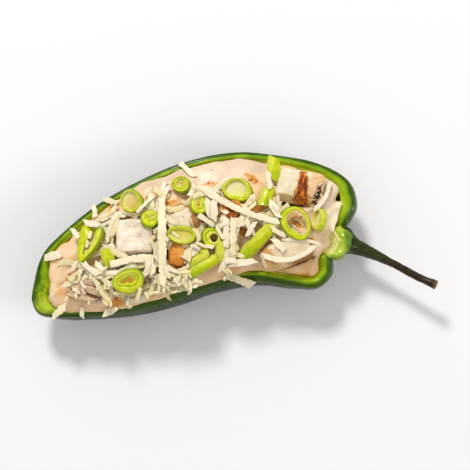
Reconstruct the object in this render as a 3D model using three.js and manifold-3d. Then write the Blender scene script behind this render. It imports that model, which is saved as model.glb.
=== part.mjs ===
// Half of a stuffed poblano pepper, lying cut side up on its rounded belly.
// Millimetres, +Z up. +X runs from the blossom tip to the stem, and +Y is the pepper's bulging far side.
// The origin lies on the small flat spot that the pepper rests on.

import * as THREE from "three";
import { mergeVertices } from "three/addons/utils/BufferGeometryUtils.js";
import Module from "manifold-3d";

const wasm = await Module();
wasm.setup();

// ---- driving dimensions -------------------------------------------------------------------

const RIM_HEIGHT = 26.5; // the cut plane above the table
const KEEL_DEPTH = 27.6; // from the cut plane to the belly, before the resting spot flattens it
const WALL = 3.9; // flesh at the cut
const BELLY_WALL = 3.4; // flesh at the belly
const TIP_FLESH = 4.4; // how much thicker the flesh is at the blossom tip
const SHOULDER_FLESH = 1.9; // and at the shoulders round the stem
const LIP = 0.9; // rounding of the two edges of the cut
const GAP = 0.35; // clearance between neighbouring pieces
const MOUND = 7.6; // crown of the filling above the cut plane
const HEAP = 3; // depth of the shredded cheese on the filling
const SCALLION_WALL = 1.5;
const SCALLION_SINK = 0.9; // how deep a scallion slice settles into the cheese

const COLUMNS = 52; // round the outline: 2 for each outline point
const HALF = COLUMNS / 2;

const lerp = THREE.MathUtils.lerp;
const ramp = (x, from, to) => THREE.MathUtils.smoothstep(x, from, to);
const bump = (x, middle, width) => Math.exp(-(((x - middle) / width) ** 2));

// ---- outline of the pepper, seen from above --------------------------------------------------
// Each station holds a point of the far edge, one of the spine that the belly's keel follows, and one of the near edge.

const TIP = [-74.7, -16];
const STEM_NOTCH = [67, -18.5];
const SPINE_START = [-58.5, -10.8];
const SPINE_END = [57.5, -13.5];
const STATIONS = [
  { far: [-72.2, -8.5], spine: [-57.8, -10.6], near: [-73.2, -21.5] },
  { far: [-65, 4.3], spine: [-54.6, -9.6], near: [-66, -25.4] },
  { far: [-52, 13.2], spine: [-46, -7.8], near: [-50, -29.2] },
  { far: [-35, 21.2], spine: [-32, -5.2], near: [-32, -31.8] },
  { far: [-12, 27.9], spine: [-12, -2], near: [-12, -31.8] },
  { far: [10, 31], spine: [8, 0.3], near: [8, -29.9] },
  { far: [30, 30], spine: [26, -0.5], near: [26, -30.6] },
  { far: [50, 23.6], spine: [41, -4.5], near: [41, -35.6] },
  { far: [66.6, 15.6], spine: [50, -8], near: [52, -38] },
  { far: [76.6, 6], spine: [54.5, -10.5], near: [59.4, -33.8] },
  { far: [77.8, -5], spine: [56.3, -12], near: [61.6, -27.6] },
  { far: [72.4, -12.6], spine: [57, -13], near: [62.6, -23] },
];

const planar = ([x, y]) => new THREE.Vector3(x, y, 0);
const outlineCurve = new THREE.CatmullRomCurve3(
  [TIP, ...STATIONS.map((s) => s.far), STEM_NOTCH, ...STATIONS.map((s) => s.near).reverse()].map(planar),
  true,
);
const spineCurve = new THREE.CatmullRomCurve3(
  [SPINE_START, ...STATIONS.map((s) => s.spine), SPINE_END].map(planar),
);

// Column c of the outline: its point, the direction into the pepper, the spine point that it faces, and how far
// it lies along the pepper, from 0 at the tip to 1 at the stem. Columns run from the tip along the far edge to the stem
// and back along the near edge, so columns c and COLUMNS - c face the same spine point.
const columns = Array.from({ length: COLUMNS }, (_, c) => {
  const tangent = outlineCurve.getTangent(c / COLUMNS);
  const along = c <= HALF ? c / HALF : (COLUMNS - c) / HALF;
  const point = outlineCurve.getPoint(c / COLUMNS);
  const spine = spineCurve.getPoint(along);
  const square = new THREE.Vector3(tangent.y, -tangent.x, 0).normalize();
  const toSpine = spine.clone().sub(point).normalize();
  return {
    point,
    // Square to the outline, but straight to the spine round the tight tip, where square lines would cross.
    inward: toSpine.lerp(square, ramp(along, 0.08, 0.22)).normalize(),
    spine,
    along,
    far: c > 0 && c < HALF,
  };
});

// ---- making solids ---------------------------------------------------------------------------

// A closed solid from rings of points. Rings that lie on the spine close by themselves, a "cap" closes each end with
// a fan, and a "loop" joins the last ring to the first.
function solidFromRings(rings, ends = "seam") {
  const size = rings[0].length;
  const points = rings.flat();
  const faces = [];
  const last = ends === "loop" ? rings.length : rings.length - 1;
  for (let r = 0; r < last; r++) {
    for (let i = 0; i < size; i++) {
      const j = (i + 1) % size;
      const a = r * size;
      const b = ((r + 1) % rings.length) * size;
      faces.push([a + i, a + j, b + j], [a + i, b + j, b + i]);
    }
  }
  if (ends === "cap") {
    for (const [r, turned] of [[0, true], [rings.length - 1, false]]) {
      const middle = rings[r].reduce((sum, p) => sum.add(p), new THREE.Vector3()).divideScalar(size);
      const hub = points.push(middle) - 1;
      for (let i = 0; i < size; i++) {
        const edge = [r * size + i, r * size + ((i + 1) % size)];
        faces.push(turned ? [hub, edge[1], edge[0]] : [hub, edge[0], edge[1]]);
      }
    }
  }
  const geometry = new THREE.BufferGeometry().setFromPoints(points);
  geometry.setIndex(faces.flat());
  return solidFromGeometry(geometry);
}

// A closed three.js geometry as a manifold-3d solid with its faces pointing out.
function solidFromGeometry(source) {
  const geometry = source.clone();
  geometry.deleteAttribute("normal");
  geometry.deleteAttribute("uv");
  const merged = mergeVertices(geometry, 1e-3);
  const index = merged.index.array;
  const triVerts = [];
  for (let i = 0; i < index.length; i += 3) {
    const [a, b, c] = index.slice(i, i + 3);
    if (a !== b && b !== c && c !== a) triVerts.push(a, b, c);
  }
  const build = (verts) => new wasm.Manifold(
    new wasm.Mesh({
      numProp: 3,
      vertProperties: new Float32Array(merged.attributes.position.array),
      triVerts: new Uint32Array(verts),
    }),
  );
  const solid = build(triVerts);
  return solid.volume() > 0 ? solid : build(triVerts.reverse());
}

function geometryFromSolid(solid) {
  const { vertProperties, triVerts, numProp, numVert } = solid.getMesh();
  const positions = new Float32Array(numVert * 3);
  for (let i = 0; i < numVert; i++) {
    positions.set(vertProperties.subarray(i * numProp, i * numProp + 3), i * 3);
  }
  const geometry = new THREE.BufferGeometry();
  geometry.setAttribute("position", new THREE.BufferAttribute(positions, 3));
  geometry.setIndex(new THREE.BufferAttribute(new Uint32Array(triVerts), 1));
  geometry.computeVertexNormals();
  return geometry;
}

// Cuts can leave crumbs: only the largest body is kept.
const largestBody = (solid) => solid.decompose().sort((a, b) => b.volume() - a.volume())[0];

const cutAll = (solid, cutters) => cutters.reduce((left, cutter) => left.subtract(cutter), solid);

// ---- the pepper's skin, wall and cavity --------------------------------------------------------

// How deep the belly is below the cut plane: shallow at the tip, full from the middle on.
function keelDepth({ spine }) {
  const toTip = Math.max((6 - spine.x) / (6 - SPINE_START[0]), 0);
  return KEEL_DEPTH * (1 - 0.4 * toTip ** 2.2) * (1 - 0.1 * ramp(spine.x, 30, SPINE_END[0]));
}

// The cut edge rolls in over the widest line, most of all along the near side.
function rimTuck({ along, far }) {
  const shoulders = 1.6 * bump(along, 0.86, 0.12);
  return far ? 0.5 + shoulders : 0.7 + 4.3 * bump(along, 0.4, 0.2) + 0.6 * shoulders;
}

const rimDrop = (column) => 3 + 1.3 * rimTuck(column);

// The cut isn't quite flat: it waves a little along each edge.
const rimHeight = ({ along, far }) =>
  RIM_HEIGHT + (far ? 0.6 : -0.9) * Math.sin(Math.PI * along) + 0.35 * Math.sin(9 * along + (far ? 1 : 2.5));

const wallAt = ({ along }) => WALL + TIP_FLESH * bump(along, 0, 0.1) + SHOULDER_FLESH * bump(along, 0.82, 0.14);

// Shallow furrows run along the skin between the pepper's lobes.
const furrow = (along, down) =>
  1 - 0.05 * Math.sin(Math.PI * along) ** 0.5 * (bump(down, 0.42, 0.1) + 0.7 * bump(down, 0.78, 0.08));

// A point of the skin in a column, or of the surface that lies inset inside it. Down is 0 at the cut and 1 at the keel.
const WIDEST = 0.18; // where down meets the widest line
function skinPoint(column, inset, down) {
  const drop = rimDrop(column);
  const top = rimHeight(column);
  if (down < WIDEST) {
    const above = 1 - down / WIDEST;
    const rolled = inset + rimTuck(column) * above ** 2;
    return column.point.clone().addScaledVector(column.inward, rolled).setZ(top - drop * (1 - above));
  }
  const angle = ((down - WIDEST) / (1 - WIDEST)) * (Math.PI / 2);
  const belly = keelDepth(column) - drop - inset * (BELLY_WALL / wallAt(column));
  const reach = Math.cos(angle) * (inset > 0 ? 1 : furrow(column.along, down));
  const widest = column.point.clone().addScaledVector(column.inward, inset);
  const height = lerp(top, RIM_HEIGHT, Math.sin(angle)) - drop - belly * Math.sin(angle);
  return column.spine.clone().lerp(widest, Math.max(reach, 0)).setZ(height);
}

const skinRing = (insetAt, down) => columns.map((column) => skinPoint(column, insetAt(column), down));

// A ring at the cut itself, inset from the skin and raised or lowered from the cut's height.
const rimRing = (insetAt, lift) =>
  columns.map((column) => {
    const point = skinPoint(column, insetAt(column), 0);
    return point.setZ(point.z + lift);
  });

const OUTER_ROWS = [1, 0.84, 0.67, 0.5, 0.34, WIDEST, 0.08];
const INNER_ROWS = [0.08, WIDEST, 0.4, 0.7, 1];

// Everything above the table: a block that trims the belly to a flat resting spot.
const aboveTable = solidFromGeometry(new THREE.BoxGeometry(400, 400, 200).translate(0, 0, 100));

function makeShell() {
  const rings = [
    ...OUTER_ROWS.map((down) => skinRing(() => 0, down)),
    rimRing(() => 0, -LIP),
    rimRing(() => LIP, 0),
    rimRing((c) => wallAt(c) - LIP, 0),
    rimRing(wallAt, -LIP),
    ...INNER_ROWS.map((down) => skinRing(wallAt, down)),
  ];
  return solidFromRings(rings).intersect(aboveTable);
}

// The pepper as if it were solid, grown by a clearance: it trims what grows against the skin.
function makeGrownBody(clearance) {
  const rings = [
    ...OUTER_ROWS.map((down) => skinRing(() => -clearance, down)),
    rimRing(() => -clearance, clearance),
    columns.map((column) => column.spine.clone().setZ(RIM_HEIGHT + clearance)),
  ];
  return solidFromRings(rings);
}

// ---- the stem and the core that it grows from ----------------------------------------------------

const CORE = { x: 65.4, y: -18.6, wide: 6.3, deep: 12, below: 3.2 }; // below: its middle under the cut plane
const STEM_PATH = [
  [63.5, -15.6, -8],
  [71, -21.4, -8.2],
  [79, -27.2, -8.4],
  [88, -34.4, -8.1],
  [97, -42.4, -7],
  [104.4, -48.2, -5.2],
].map(([x, y, z]) => new THREE.Vector3(x, y, RIM_HEIGHT + z));
const STEM_SIDES = 10;
const STEM_STEPS = 12;

// A pale knob of flesh where the stem enters, sliced level with the cut.
function makeCore(clearance) {
  const wide = CORE.wide + clearance;
  const knob = new THREE.SphereGeometry(1, 14, 10).scale(wide, wide, CORE.deep + clearance);
  knob.translate(CORE.x, CORE.y, RIM_HEIGHT - CORE.below);
  const cut = new THREE.BoxGeometry(40, 40, 40).translate(CORE.x, CORE.y, RIM_HEIGHT + 0.3 - 20);
  const solid = solidFromGeometry(knob);
  return clearance > 0 ? solid : solid.intersect(solidFromGeometry(cut));
}

// The stem's radius: a flared calyx, a quick taper, a slim stalk and a slightly swollen cut end.
const stemRadius = (t) =>
  1.75 + 2.4 * (1 - ramp(t, 0.05, 0.62)) + 2.6 * bump(t, 0.12, 0.07) + 0.35 * ramp(t, 0.9, 1);

function makeStem() {
  const curve = new THREE.CatmullRomCurve3(STEM_PATH);
  const frames = curve.computeFrenetFrames(STEM_STEPS, false);
  const rings = [];
  for (let s = 0; s <= STEM_STEPS; s++) {
    const t = s / STEM_STEPS;
    const centre = curve.getPointAt(t);
    rings.push(
      Array.from({ length: STEM_SIDES }, (_, i) => {
        const turn = (2 * Math.PI * i) / STEM_SIDES;
        const ribbed = stemRadius(t) * (1 + 0.07 * (i % 2 ? 1 : -1) * (1 - t));
        return centre
          .clone()
          .addScaledVector(frames.normals[s], ribbed * Math.cos(turn))
          .addScaledVector(frames.binormals[s], ribbed * Math.sin(turn));
      }),
    );
  }
  const stalk = solidFromRings(rings, "cap");
  return largestBody(cutAll(stalk, [makeGrownBody(GAP), makeCore(GAP)]));
}

// ---- the creamy filling ---------------------------------------------------------------------------

// Where the filling's edge lies, inset from the skin. It laps the wall's inner edge on the far side and at the ends,
// and spills over the cut along the near side.
function fillingInset(column) {
  const inside = wallAt(column) - 0.4;
  const spill = column.far ? 0 : ramp(column.along, 0.1, 0.22) * (1 - ramp(column.along, 0.56, 0.68));
  return lerp(inside, 0.4, spill) + 0.35 * Math.sin(31 * column.along + (column.far ? 0 : 2));
}

const moundHeight = (along) => MOUND * (0.36 + 0.64 * Math.sin(Math.PI * Math.min(along * 1.02, 1)) ** 0.8);

// Soft lumps where the filling covers meat.
const lumps = (x, y) =>
  0.75 * Math.sin(0.21 * x + 0.6) * Math.cos(0.24 * y - 0.4) + 0.45 * Math.sin(0.47 * x - 0.39 * y + 1.3);

// A point of the filling's top. Out is 1 at the edge and 0 over the spine.
function moundPoint(column, out) {
  const edge = skinPoint(column, fillingInset(column), 0);
  const place = column.spine.clone().lerp(edge, out);
  const shape = Math.max(1 - out ** 2.6, 0) ** 0.62;
  const base = lerp(RIM_HEIGHT, rimHeight(column), out) + GAP;
  return place.setZ(base + 0.9 + shape * (moundHeight(column.along) - 0.9 + lumps(place.x, place.y)));
}

const moundRing = (outAt) => columns.map((column) => moundPoint(column, outAt(column)));
const MOUND_ROWS = [1, 0.95, 0.84, 0.6, 0.3, 0];

function makeFilling() {
  const cavity = (column) => wallAt(column) + 2 * GAP;
  const rings = [
    ...INNER_ROWS.toReversed().map((down) => skinRing(cavity, down)),
    rimRing(cavity, -LIP),
    rimRing((c) => Math.max(wallAt(c) - LIP, fillingInset(c)), GAP),
    rimRing((c) => fillingInset(c) + 0.2, GAP + 0.05),
    ...MOUND_ROWS.map((out) => moundRing(() => out)),
  ];
  return solidFromRings(rings);
}

// ---- the shredded cheese, as one heap ---------------------------------------------------------------

// The heap's ragged outline, as a share of the way from the spine to the filling's edge.
const heapReach = ({ along, far }) =>
  0.8 + 0.07 * Math.sin(23 * along + (far ? 0.5 : 4)) + 0.04 * Math.sin(41 * along + (far ? 2 : 0)) -
  0.2 * bump(along, 0, 0.12) - 0.12 * bump(along, 1, 0.1);

const heapDepth = (x, y, out) =>
  HEAP * (1 - out ** 4) * (0.85 + 0.2 * Math.sin(0.38 * x + 0.21 * y) * Math.cos(0.33 * y - 0.27 * x));

// A point of the heap in a column: out on the mound, lifted off it by the clearance and the heap's own depth.
function heapPoint(column, out, deep) {
  const reach = heapReach(column);
  const point = moundPoint(column, Math.min(out, reach));
  const depth = deep ? Math.max(heapDepth(point.x, point.y, out / reach), 0.9) : 0;
  return point.setZ(point.z + GAP + depth);
}

// The heap's inner rows are the mound's own, so that its underside runs level with the filling.
function makeHeap() {
  const rows = [...MOUND_ROWS.filter((out) => out < 0.8).reverse(), 1];
  const ring = (out, deep) => columns.map((column) => heapPoint(column, out, deep));
  return solidFromRings([...rows.map((out) => ring(out, false)), ...rows.reverse().map((out) => ring(out, true))]);
}

// ---- chicken and scallions ----------------------------------------------------------------------------

const CHICKEN_SPREAD = 5; // how box-like a chunk is: 2 is an ellipsoid, more is squarer

// at: middle of the chunk; size: length, width, height; turn: degrees about Z, then nod about its own length;
// up: share of its height that stands out of the filling.
const CHICKEN = [
  { at: [53.4, 7.6], size: [21, 14.5, 12], turn: -22, nod: 10, up: 0.44 },
  { at: [-23.4, 2.8], size: [17, 16, 11], turn: 8, nod: -6, up: 0.4 },
  { at: [1.2, 6], size: [15, 10.5, 10], turn: 14, nod: 8, up: 0.48 },
  { at: [-48.2, -14.2], size: [16, 12.5, 10], turn: -28, nod: 12, up: 0.4 },
  { at: [-7, -10.4], size: [12.5, 9, 9], turn: 76, nod: -8, up: 0.42 },
  { at: [42.4, -20.4], size: [23, 14, 11], turn: 8, nod: 14, up: 0.4 },
  { at: [20.6, 4.4], size: [12, 9, 9], turn: -30, nod: -10, up: 0.5 },
];

function chunkGeometry({ size, turn, nod }, grow, seed) {
  const geometry = new THREE.SphereGeometry(1, 10, 7);
  const half = size.map((s) => s / 2 + grow);
  const position = geometry.attributes.position;
  for (let i = 0; i < position.count; i++) {
    const d = new THREE.Vector3().fromBufferAttribute(position, i);
    const spread = d.toArray().reduce((sum, x, k) => sum + Math.abs(x / half[k]) ** CHICKEN_SPREAD, 0);
    const uneven = 1 + 0.05 * Math.sin(3.1 * d.x + seed) * Math.cos(2.7 * d.y + 2 * seed);
    d.multiplyScalar(uneven * spread ** (-1 / CHICKEN_SPREAD));
    position.setXYZ(i, d.x, d.y * (1 + 0.008 * d.x), d.z);
  }
  geometry.rotateX(THREE.MathUtils.degToRad(nod));
  return geometry.rotateZ(THREE.MathUtils.degToRad(turn));
}

// Rings of scallion. long and short are outer widths, tall the slice's thickness, turn is about Z, lean and roll tip it
// about its own axes, all in degrees.
const RINGS = [
  { at: [-21, 18.6], long: 10.8, short: 9.8, tall: 3, turn: -25, lean: 6, roll: 0 },
  { at: [2.2, 21], long: 8.4, short: 7.8, tall: 4.2, turn: 0, lean: 14, roll: -6 },
  { at: [-15, 9], long: 8.6, short: 8.2, tall: 2.6, turn: 20, lean: -6, roll: 8, wall: 2.9 },
  { at: [7.8, 10.6], long: 8.6, short: 7.6, tall: 3, turn: 70, lean: 0, roll: -8, wall: 2.5 },
  { at: [26.2, 13.6], long: 13.6, short: 10.2, tall: 3.6, turn: -33, lean: 12, roll: 0 },
  { at: [-3, -1.4], long: 12.8, short: 7.6, tall: 2.4, turn: -18, lean: -10, roll: 0 },
  { at: [10.6, -4.8], long: 9.2, short: 8.8, tall: 3.2, turn: 0, lean: 4, roll: 6, wall: 2.3 },
  { at: [-42.9, 4.3], long: 20, short: 9.4, tall: 3.4, turn: 62, lean: 0, roll: -8, wall: 2.1 },
  { at: [-29.6, -16.4], long: 14, short: 11.4, tall: 3, turn: 5, lean: -4, roll: 0, wall: 2.6 },
  { at: [48.6, -7.8], long: 15, short: 12, tall: 3, turn: -62, lean: 10, roll: 4, wall: 1.9 },
  { at: [59.2, -9.8], long: 8.4, short: 5.8, tall: 3.4, turn: 62, lean: 0, roll: 10 },
];
const RING_STEPS = 10;

// Bias-cut strips of scallion leaf, arched across. bias slants their ends.
const STRIPS = [
  { at: [-36.2, -4.6], long: 8.4, wide: 5.6, turn: 98, bias: 0.2 },
  { at: [4.9, -17], long: 16.8, wide: 5.2, turn: 18, bias: 0.5 },
  { at: [29, -12.4], long: 22, wide: 6.4, turn: 35, bias: 0.6 },
  { at: [37.9, 6.5], long: 8.8, wide: 6, turn: 60, bias: -0.2 },
  { at: [44.1, 18], long: 10.4, wide: 6, turn: 77, bias: 0.5 },
];
const STRIP_THICKNESS = 1.6;
const STRIP_ARCH = 1.2; // how far a strip's long edges hang below its middle

function tilted(slope, { turn, lean = 0, roll = 0 }) {
  const radians = THREE.MathUtils.degToRad;
  const pose = new THREE.Matrix4().makeRotationFromEuler(
    new THREE.Euler(radians(lean), radians(roll), radians(turn), "ZYX"),
  );
  const toSlope = new THREE.Quaternion().setFromUnitVectors(new THREE.Vector3(0, 0, 1), slope);
  return new THREE.Matrix4().makeRotationFromQuaternion(toSlope).multiply(pose);
}

function ringSolid(slice, grow, slope, place) {
  const { long, short, tall, wall = SCALLION_WALL } = slice;
  const [rx, ry, up] = [long / 2 + grow, short / 2 + grow, tall / 2 + grow];
  const section = [
    { inset: 0, z: -up }, { inset: 0, z: up },
    { inset: wall + 2 * grow, z: up }, { inset: wall + 2 * grow, z: -up },
  ];
  const pose = tilted(slope, slice).setPosition(place);
  const rings = section.map(({ inset, z }) =>
    Array.from({ length: RING_STEPS }, (_, i) => {
      const a = (2 * Math.PI * i) / RING_STEPS;
      return new THREE.Vector3((rx - inset) * Math.cos(a), (ry - inset) * Math.sin(a), z).applyMatrix4(pose);
    }),
  );
  return solidFromRings(rings, "loop");
}

function stripSolid(strip, grow, slope, place) {
  const { long, wide, bias } = strip;
  const size = [long + 2 * grow, wide + 2 * grow, STRIP_THICKNESS + 2 * grow];
  const geometry = new THREE.BoxGeometry(...size, 4, 4, 1);
  const position = geometry.attributes.position;
  for (let i = 0; i < position.count; i++) {
    const [x, y, z] = [position.getX(i), position.getY(i), position.getZ(i)];
    const narrowed = y * (1 - 0.35 * (2 * x / size[0]) ** 2);
    position.setXYZ(i, x + bias * y, narrowed, z - STRIP_ARCH * (2 * narrowed / size[1]) ** 2);
  }
  geometry.applyMatrix4(tilted(slope, strip).setPosition(place));
  return solidFromGeometry(geometry);
}

// ---- finding what lies under a point ---------------------------------------------------------------------

const SKY = 100;
const caster = new THREE.Raycaster();

function heightUnder(targets, x, y) {
  caster.set(new THREE.Vector3(x, y, SKY), new THREE.Vector3(0, 0, -1));
  const hits = caster.intersectObjects(targets, false);
  return hits.length ? SKY - hits[0].distance : -Infinity;
}

// The unit normal of what lies round a point, from heights a little way off on each side.
function slopeUnder(targets, x, y, reach) {
  const rise = (dx, dy) => heightUnder(targets, x + dx, y + dy) - heightUnder(targets, x - dx, y - dy);
  const gentle = (value) => THREE.MathUtils.clamp(Number.isFinite(value) ? value / (2 * reach) : 0, -0.45, 0.45);
  return new THREE.Vector3(-gentle(rise(reach, 0)), -gentle(rise(0, reach)), 1).normalize();
}

const probe = (solid) => new THREE.Mesh(geometryFromSolid(solid));

// ---- putting it together -----------------------------------------------------------------------------------

const finish = (color, roughness) => new THREE.MeshStandardMaterial({ color, roughness, metalness: 0 });
const FINISHES = {
  pepper: finish(0x4a6b1e, 0.35),
  core: finish(0xb0bd5f, 0.5),
  stem: finish(0x3b4a22, 0.5),
  filling: finish(0xf0d6b2, 0.45),
  chicken: finish(0xe4cda8, 0.55),
  cheese: finish(0xf3ead2, 0.5),
  scallion: finish(0xb2b92f, 0.35),
};

const pepper = new THREE.Group();
pepper.name = "stuffed_pepper_half";

function addPiece(name, solid, material) {
  const mesh = new THREE.Mesh(geometryFromSolid(solid), material);
  mesh.name = name;
  pepper.add(mesh);
  return mesh;
}

const shell = largestBody(makeShell().subtract(makeCore(GAP)));
const wholeFilling = makeFilling().subtract(makeCore(GAP));
const wholeHeap = makeHeap();
const fillingProbe = probe(wholeFilling);

// Chunks of chicken, half sunk in the filling.
const chunks = CHICKEN.map((chunk, i) => {
  const [x, y] = chunk.at;
  const z = heightUnder([fillingProbe], x, y) + chunk.size[2] * (chunk.up - 0.5);
  const placed = (grow) => solidFromGeometry(chunkGeometry(chunk, grow, i + 1).translate(x, y, z));
  return { solid: placed(0), room: placed(GAP) };
});

// Scallion slices, each settled on the cheese, the chicken and the slices before it.
const heapProbe = probe(wholeHeap);
const hard = chunks.map((chunk) => probe(chunk.solid));
const slices = [];
function settle(slice, shape) {
  const [x, y] = slice.at;
  const slope = slopeUnder([fillingProbe, heapProbe, ...hard], x, y, slice.long * 0.4);
  const corners = geometryFromSolid(shape(slice, 0, slope, new THREE.Vector3(x, y, 0))).attributes.position;
  let rest = -Infinity;
  for (let i = 0; i < corners.count; i++) {
    const corner = new THREE.Vector3().fromBufferAttribute(corners, i);
    const soft = heightUnder([fillingProbe, heapProbe], corner.x, corner.y) - SCALLION_SINK;
    const firm = heightUnder([...hard, fillingProbe], corner.x, corner.y) + GAP;
    rest = Math.max(rest, soft - corner.z, firm - corner.z);
  }
  const settled = (grow) => shape(slice, grow, slope, new THREE.Vector3(x, y, rest));
  const neighbours = [...chunks, ...slices].map((piece) => piece.room);
  const solid = largestBody(cutAll(settled(0), neighbours));
  slices.push({ solid, room: settled(GAP) });
  hard.push(probe(solid));
}

RINGS.forEach((ring) => settle(ring, ringSolid));
STRIPS.forEach((strip) => settle(strip, stripSolid));

const chunkRooms = chunks.map((chunk) => chunk.room);
const sliceRooms = slices.map((slice) => slice.room);
const heap = cutAll(wholeHeap, [wholeFilling, ...chunkRooms, ...sliceRooms]);

addPiece("pepper_shell", shell, FINISHES.pepper);
addPiece("core", makeCore(0), FINISHES.core);
addPiece("stem", makeStem(), FINISHES.stem);
addPiece("filling", largestBody(cutAll(wholeFilling, chunkRooms)), FINISHES.filling);
addPiece("shredded_cheese", largestBody(heap), FINISHES.cheese);
chunks.forEach((chunk, i) => addPiece(`chicken_${i + 1}`, chunk.solid, FINISHES.chicken));
slices.forEach((slice, i) => {
  const strip = i - RINGS.length + 1;
  const name = strip > 0 ? `scallion_strip_${strip}` : `scallion_ring_${String(i + 1).padStart(2, "0")}`;
  addPiece(name, slice.solid, FINISHES.scallion);
});

export default pepper;
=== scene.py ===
# %% [markdown]
# # Half a stuffed poblano pepper, cut side up
#
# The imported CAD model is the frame: it says where every piece is and how big. This script dresses it, piece
# by piece: the roasted skin and the green cut, the cream, the grilled chicken, the scallions and the
# shredded cheese. Positions are worked out in millimetres, as in the source of the part, and turned into
# metres where a mesh is made.

import math
import random

import bmesh
import bpy
import numpy as np
from mathutils import Matrix, Vector, noise
from mathutils.bvhtree import BVHTree


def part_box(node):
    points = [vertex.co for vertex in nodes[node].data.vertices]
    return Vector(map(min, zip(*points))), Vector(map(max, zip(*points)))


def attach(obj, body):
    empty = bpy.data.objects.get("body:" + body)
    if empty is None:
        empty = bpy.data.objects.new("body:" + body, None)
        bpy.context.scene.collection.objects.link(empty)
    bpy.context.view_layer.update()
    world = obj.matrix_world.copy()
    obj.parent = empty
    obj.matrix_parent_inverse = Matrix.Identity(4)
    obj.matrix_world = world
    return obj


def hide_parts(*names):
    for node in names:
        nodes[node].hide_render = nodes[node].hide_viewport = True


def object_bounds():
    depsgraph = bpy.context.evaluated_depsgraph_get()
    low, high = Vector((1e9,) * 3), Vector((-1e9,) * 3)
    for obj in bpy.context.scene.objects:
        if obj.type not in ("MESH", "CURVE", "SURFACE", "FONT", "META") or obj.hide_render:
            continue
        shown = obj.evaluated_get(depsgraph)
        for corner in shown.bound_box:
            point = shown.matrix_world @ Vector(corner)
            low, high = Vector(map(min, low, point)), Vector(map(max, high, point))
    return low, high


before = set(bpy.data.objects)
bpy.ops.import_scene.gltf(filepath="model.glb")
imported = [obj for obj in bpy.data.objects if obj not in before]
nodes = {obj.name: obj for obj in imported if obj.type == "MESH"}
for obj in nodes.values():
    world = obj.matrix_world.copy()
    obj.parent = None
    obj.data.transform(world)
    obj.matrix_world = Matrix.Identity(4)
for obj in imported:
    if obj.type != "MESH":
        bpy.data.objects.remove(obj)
cad_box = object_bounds()
MM = 0.001
print("nodes in the frame:", len(nodes))

# %% [markdown]
# ## The camera
#
# The half is seen from almost straight above, from a point a little over its near side, and it lies turned
# in the picture: its long axis rises to the right. A long lens keeps the near and the far edge at one
# scale. The camera could be turned by three angles, but its axes are easier to follow when they are built
# from the direction it looks in and the direction that is to be level in the picture.

# %% Camera
PICTURE_TURN = math.radians(12.7)  # how far the pepper's long axis rises to the right in the picture
AIM = Vector((20.9, -6.3, 24)) * MM
EYE = Vector((11.8, -41.6, 760)) * MM
PICTURE_WIDTH = 211.5 * MM  # what the picture takes in, at the pepper's cut


def point_camera(eye, aim, turn, width):
    """A camera at eye that looks at aim, with width metres across the picture there."""
    ahead = (aim - eye).normalized()
    level = Vector((math.cos(turn), -math.sin(turn), 0))
    right = (level - ahead * level.dot(ahead)).normalized()
    up = right.cross(ahead)
    data = bpy.data.cameras.new("camera")
    data.lens = data.sensor_width * (aim - eye).length / width
    camera = bpy.data.objects.new("camera", data)
    bpy.context.scene.collection.objects.link(camera)
    camera.matrix_world = Matrix((right, up, -ahead)).transposed().to_4x4()
    camera.location = eye
    bpy.context.scene.camera = camera
    print("lens in millimetres:", round(data.lens, 1))
    return right, up


picture_right, picture_up = point_camera(EYE, AIM, PICTURE_TURN, PICTURE_WIDTH)

# %% [markdown]
# ## Light and floor
#
# One large soft lamp stands behind the pepper and to its left, so that shreds and rings throw short soft
# shadows towards the near side. A weaker one on the right and an even pale surround fill them. A sun lamp
# would be simpler, but its hard shadows would cut the small toppings into spots of black and white.

# %% Light
bpy.context.scene.view_settings.view_transform = "Standard"
bpy.context.scene.view_settings.look = "Medium High Contrast"

world = bpy.data.worlds.new("studio")
bpy.context.scene.world = world
world.use_nodes = True
surround = world.node_tree.nodes["Background"]
surround.inputs["Color"].default_value = (1.0, 0.96, 0.88, 1)
surround.inputs["Strength"].default_value = 0.54


def soft_lamp(name, offset, size, power, colour):
    """A square lamp at an offset from the pepper, turned towards it."""
    data = bpy.data.lights.new(name, "AREA")
    data.size = size
    data.energy = power
    data.color = colour
    lamp = bpy.data.objects.new(name, data)
    bpy.context.scene.collection.objects.link(lamp)
    lamp.location = AIM + offset
    lamp.rotation_euler = (-offset).to_track_quat("-Z", "Y").to_euler()
    return lamp


towards_back = picture_up * 0.6 - picture_right * 0.22
key = soft_lamp("key_lamp", (towards_back + Vector((0, 0, 0.7))) * 2.0, 0.32, 20.5, (1.0, 0.96, 0.89))
towards_right = picture_right * 0.8 - picture_up * 0.25
soft_lamp("fill_lamp", (towards_right + Vector((0, 0, 0.7))) * 1.6, 0.5, 5, (1.0, 0.97, 0.93))
print("key lamp distance in metres:", round((key.location - AIM).length, 2))

# %% [markdown]
# The floor is one flat face, wide enough that its edge shows from no side. It is pale and matt, so it
# throws a little light back under the belly and leaves the food to be looked at.


# %% Floor
def paint(red, green, blue):
    """A colour given as 0 to 255 for each channel, in the linear values that shaders work with."""
    def linear(channel):
        share = channel / 255
        return share / 12.92 if share < 0.04 else ((share + 0.055) / 1.055) ** 2.4

    return (linear(red), linear(green), linear(blue), 1.0)


floor_mesh = bpy.data.meshes.new("floor")
floor_mesh.from_pydata([(-3, -3, 0), (3, -3, 0), (3, 3, 0), (-3, 3, 0)], [], [(0, 1, 2, 3)])
floor = bpy.data.objects.new("floor", floor_mesh)
bpy.context.scene.collection.objects.link(floor)
floor_finish = bpy.data.materials.new("pale_floor")
floor_finish.use_nodes = True
floor_shader = floor_finish.node_tree.nodes["Principled BSDF"]
floor_shader.inputs["Base Color"].default_value = paint(228, 231, 238)
floor_shader.inputs["Roughness"].default_value = 0.8
floor_mesh.materials.append(floor_finish)
print("floor laid")

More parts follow.
